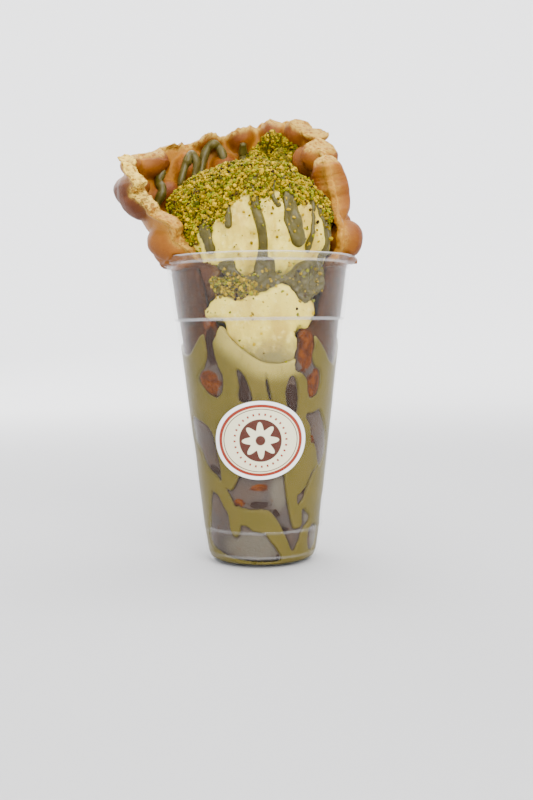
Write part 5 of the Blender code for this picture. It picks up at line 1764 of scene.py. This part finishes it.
class WAFFLE_OT_tumbler(bpy.types.Operator):
    """Make the clear tumbler."""

    bl_idname = "waffle.tumbler"
    bl_label = "Tumbler"

    def execute(self, context):
        make_tumbler(context.scene.waffle_tumbler)
        return {"FINISHED"}


class WAFFLE_OT_label(bpy.types.Operator):
    """Make the oval label on the tumbler."""

    bl_idname = "waffle.label"
    bl_label = "Label"

    def execute(self, context):
        make_label(context.scene.waffle_label)
        return {"FINISHED"}


class WAFFLE_OT_sheet(bpy.types.Operator):
    """Make the bubble waffle and the part of it that is pressed on the wall."""

    bl_idname = "waffle.sheet"
    bl_label = "Waffle"

    def execute(self, context):
        settings = context.scene.waffle_sheet
        make_waffle_sheet(settings)
        make_pressed_sheet()
        return {"FINISHED"}


class WAFFLE_OT_fillings(bpy.types.Operator):
    """Make the ice cream, the nut cream and the crushed nuts."""

    bl_idname = "waffle.fillings"
    bl_label = "Ice Cream, Nut Cream and Nuts"

    def execute(self, context):
        scene = context.scene
        sheet = scene.objects.get("waffle_sheet")
        if sheet is None:
            raise RuntimeError("make the waffle first: the fillings lie on it")
        graph = context.evaluated_depsgraph_get()
        tree = BVHTree.FromObject(sheet, graph)
        cream, ice = scene.waffle_nut_cream, scene.waffle_ice_cream
        on_wall = nut_cream("wall_cream", cream, 0.42, 0.08, srgb(102, 88, 40), 0.1)
        piped = nut_cream("piped_cream", cream, 0.28, 0.26, srgb(64, 56, 6), 0.5)
        meal = nut_cream("nut_meal", cream, 0.60, 0.06, srgb(88, 76, 2), 0.5)
        pale = ice_cream(ice)
        make_wall_cream(cream, on_wall)
        make_saddle(piped)
        make_cup_nut_bed(meal)
        make_ropes(piped)
        directions, reach = scoop_grid(ice.ripple, tree)
        make_scoop(pale, directions, reach)
        make_lower_ice_cream(pale, tree)
        make_scoop_cream(directions, reach, piped)
        make_nut_bed(directions, reach, meal)
        make_heap(meal)
        make_crushed_nuts(scene.waffle_nuts, directions, reach)
        make_crust_crumbs()
        return {"FINISHED"}


class WAFFLE_OT_stage(bpy.types.Operator):
    """Make the floor, the lights and the camera."""

    bl_idname = "waffle.stage"
    bl_label = "Stage"

    def execute(self, context):
        settings = context.scene.waffle_stage
        make_stage()
        make_light(settings)
        make_camera(settings)
        return {"FINISHED"}


OPERATORS = (WAFFLE_OT_tumbler, WAFFLE_OT_label, WAFFLE_OT_sheet, WAFFLE_OT_fillings, WAFFLE_OT_stage)
SETTINGS = {
    "waffle_tumbler": TumblerSettings,
    "waffle_label": LabelSettings,
    "waffle_sheet": WaffleSettings,
    "waffle_ice_cream": IceCreamSettings,
    "waffle_nut_cream": NutCreamSettings,
    "waffle_nuts": NutSettings,
    "waffle_stage": StageSettings,
}


class WAFFLE_PT_panel(bpy.types.Panel):
    """Lists the pieces and their settings."""

    bl_idname = "WAFFLE_PT_panel"
    bl_label = "Bubble Waffle"
    bl_space_type = "VIEW_3D"
    bl_region_type = "UI"
    bl_category = "Waffle"

    def draw(self, context):
        for operator in OPERATORS:
            self.layout.operator(operator.bl_idname)
        for name, group in SETTINGS.items():
            box = self.layout.box()
            box.label(text=group.__doc__)
            for setting in group.__annotations__:
                box.prop(getattr(context.scene, name), setting)


def register():
    for group in SETTINGS.values():
        bpy.utils.register_class(group)
    for name, group in SETTINGS.items():
        setattr(bpy.types.Scene, name, PointerProperty(type=group))
    for operator in OPERATORS:
        bpy.utils.register_class(operator)
    bpy.utils.register_class(WAFFLE_PT_panel)


def unregister():
    bpy.utils.unregister_class(WAFFLE_PT_panel)
    for operator in reversed(OPERATORS):
        bpy.utils.unregister_class(operator)
    for name in SETTINGS:
        delattr(bpy.types.Scene, name)
    for group in SETTINGS.values():
        bpy.utils.unregister_class(group)


def main():
    register()
    bpy.ops.waffle.tumbler()
    bpy.ops.waffle.label()
    bpy.ops.waffle.sheet()
    bpy.ops.waffle.fillings()
    bpy.ops.waffle.stage()


if __name__ == "__main__":
    main()
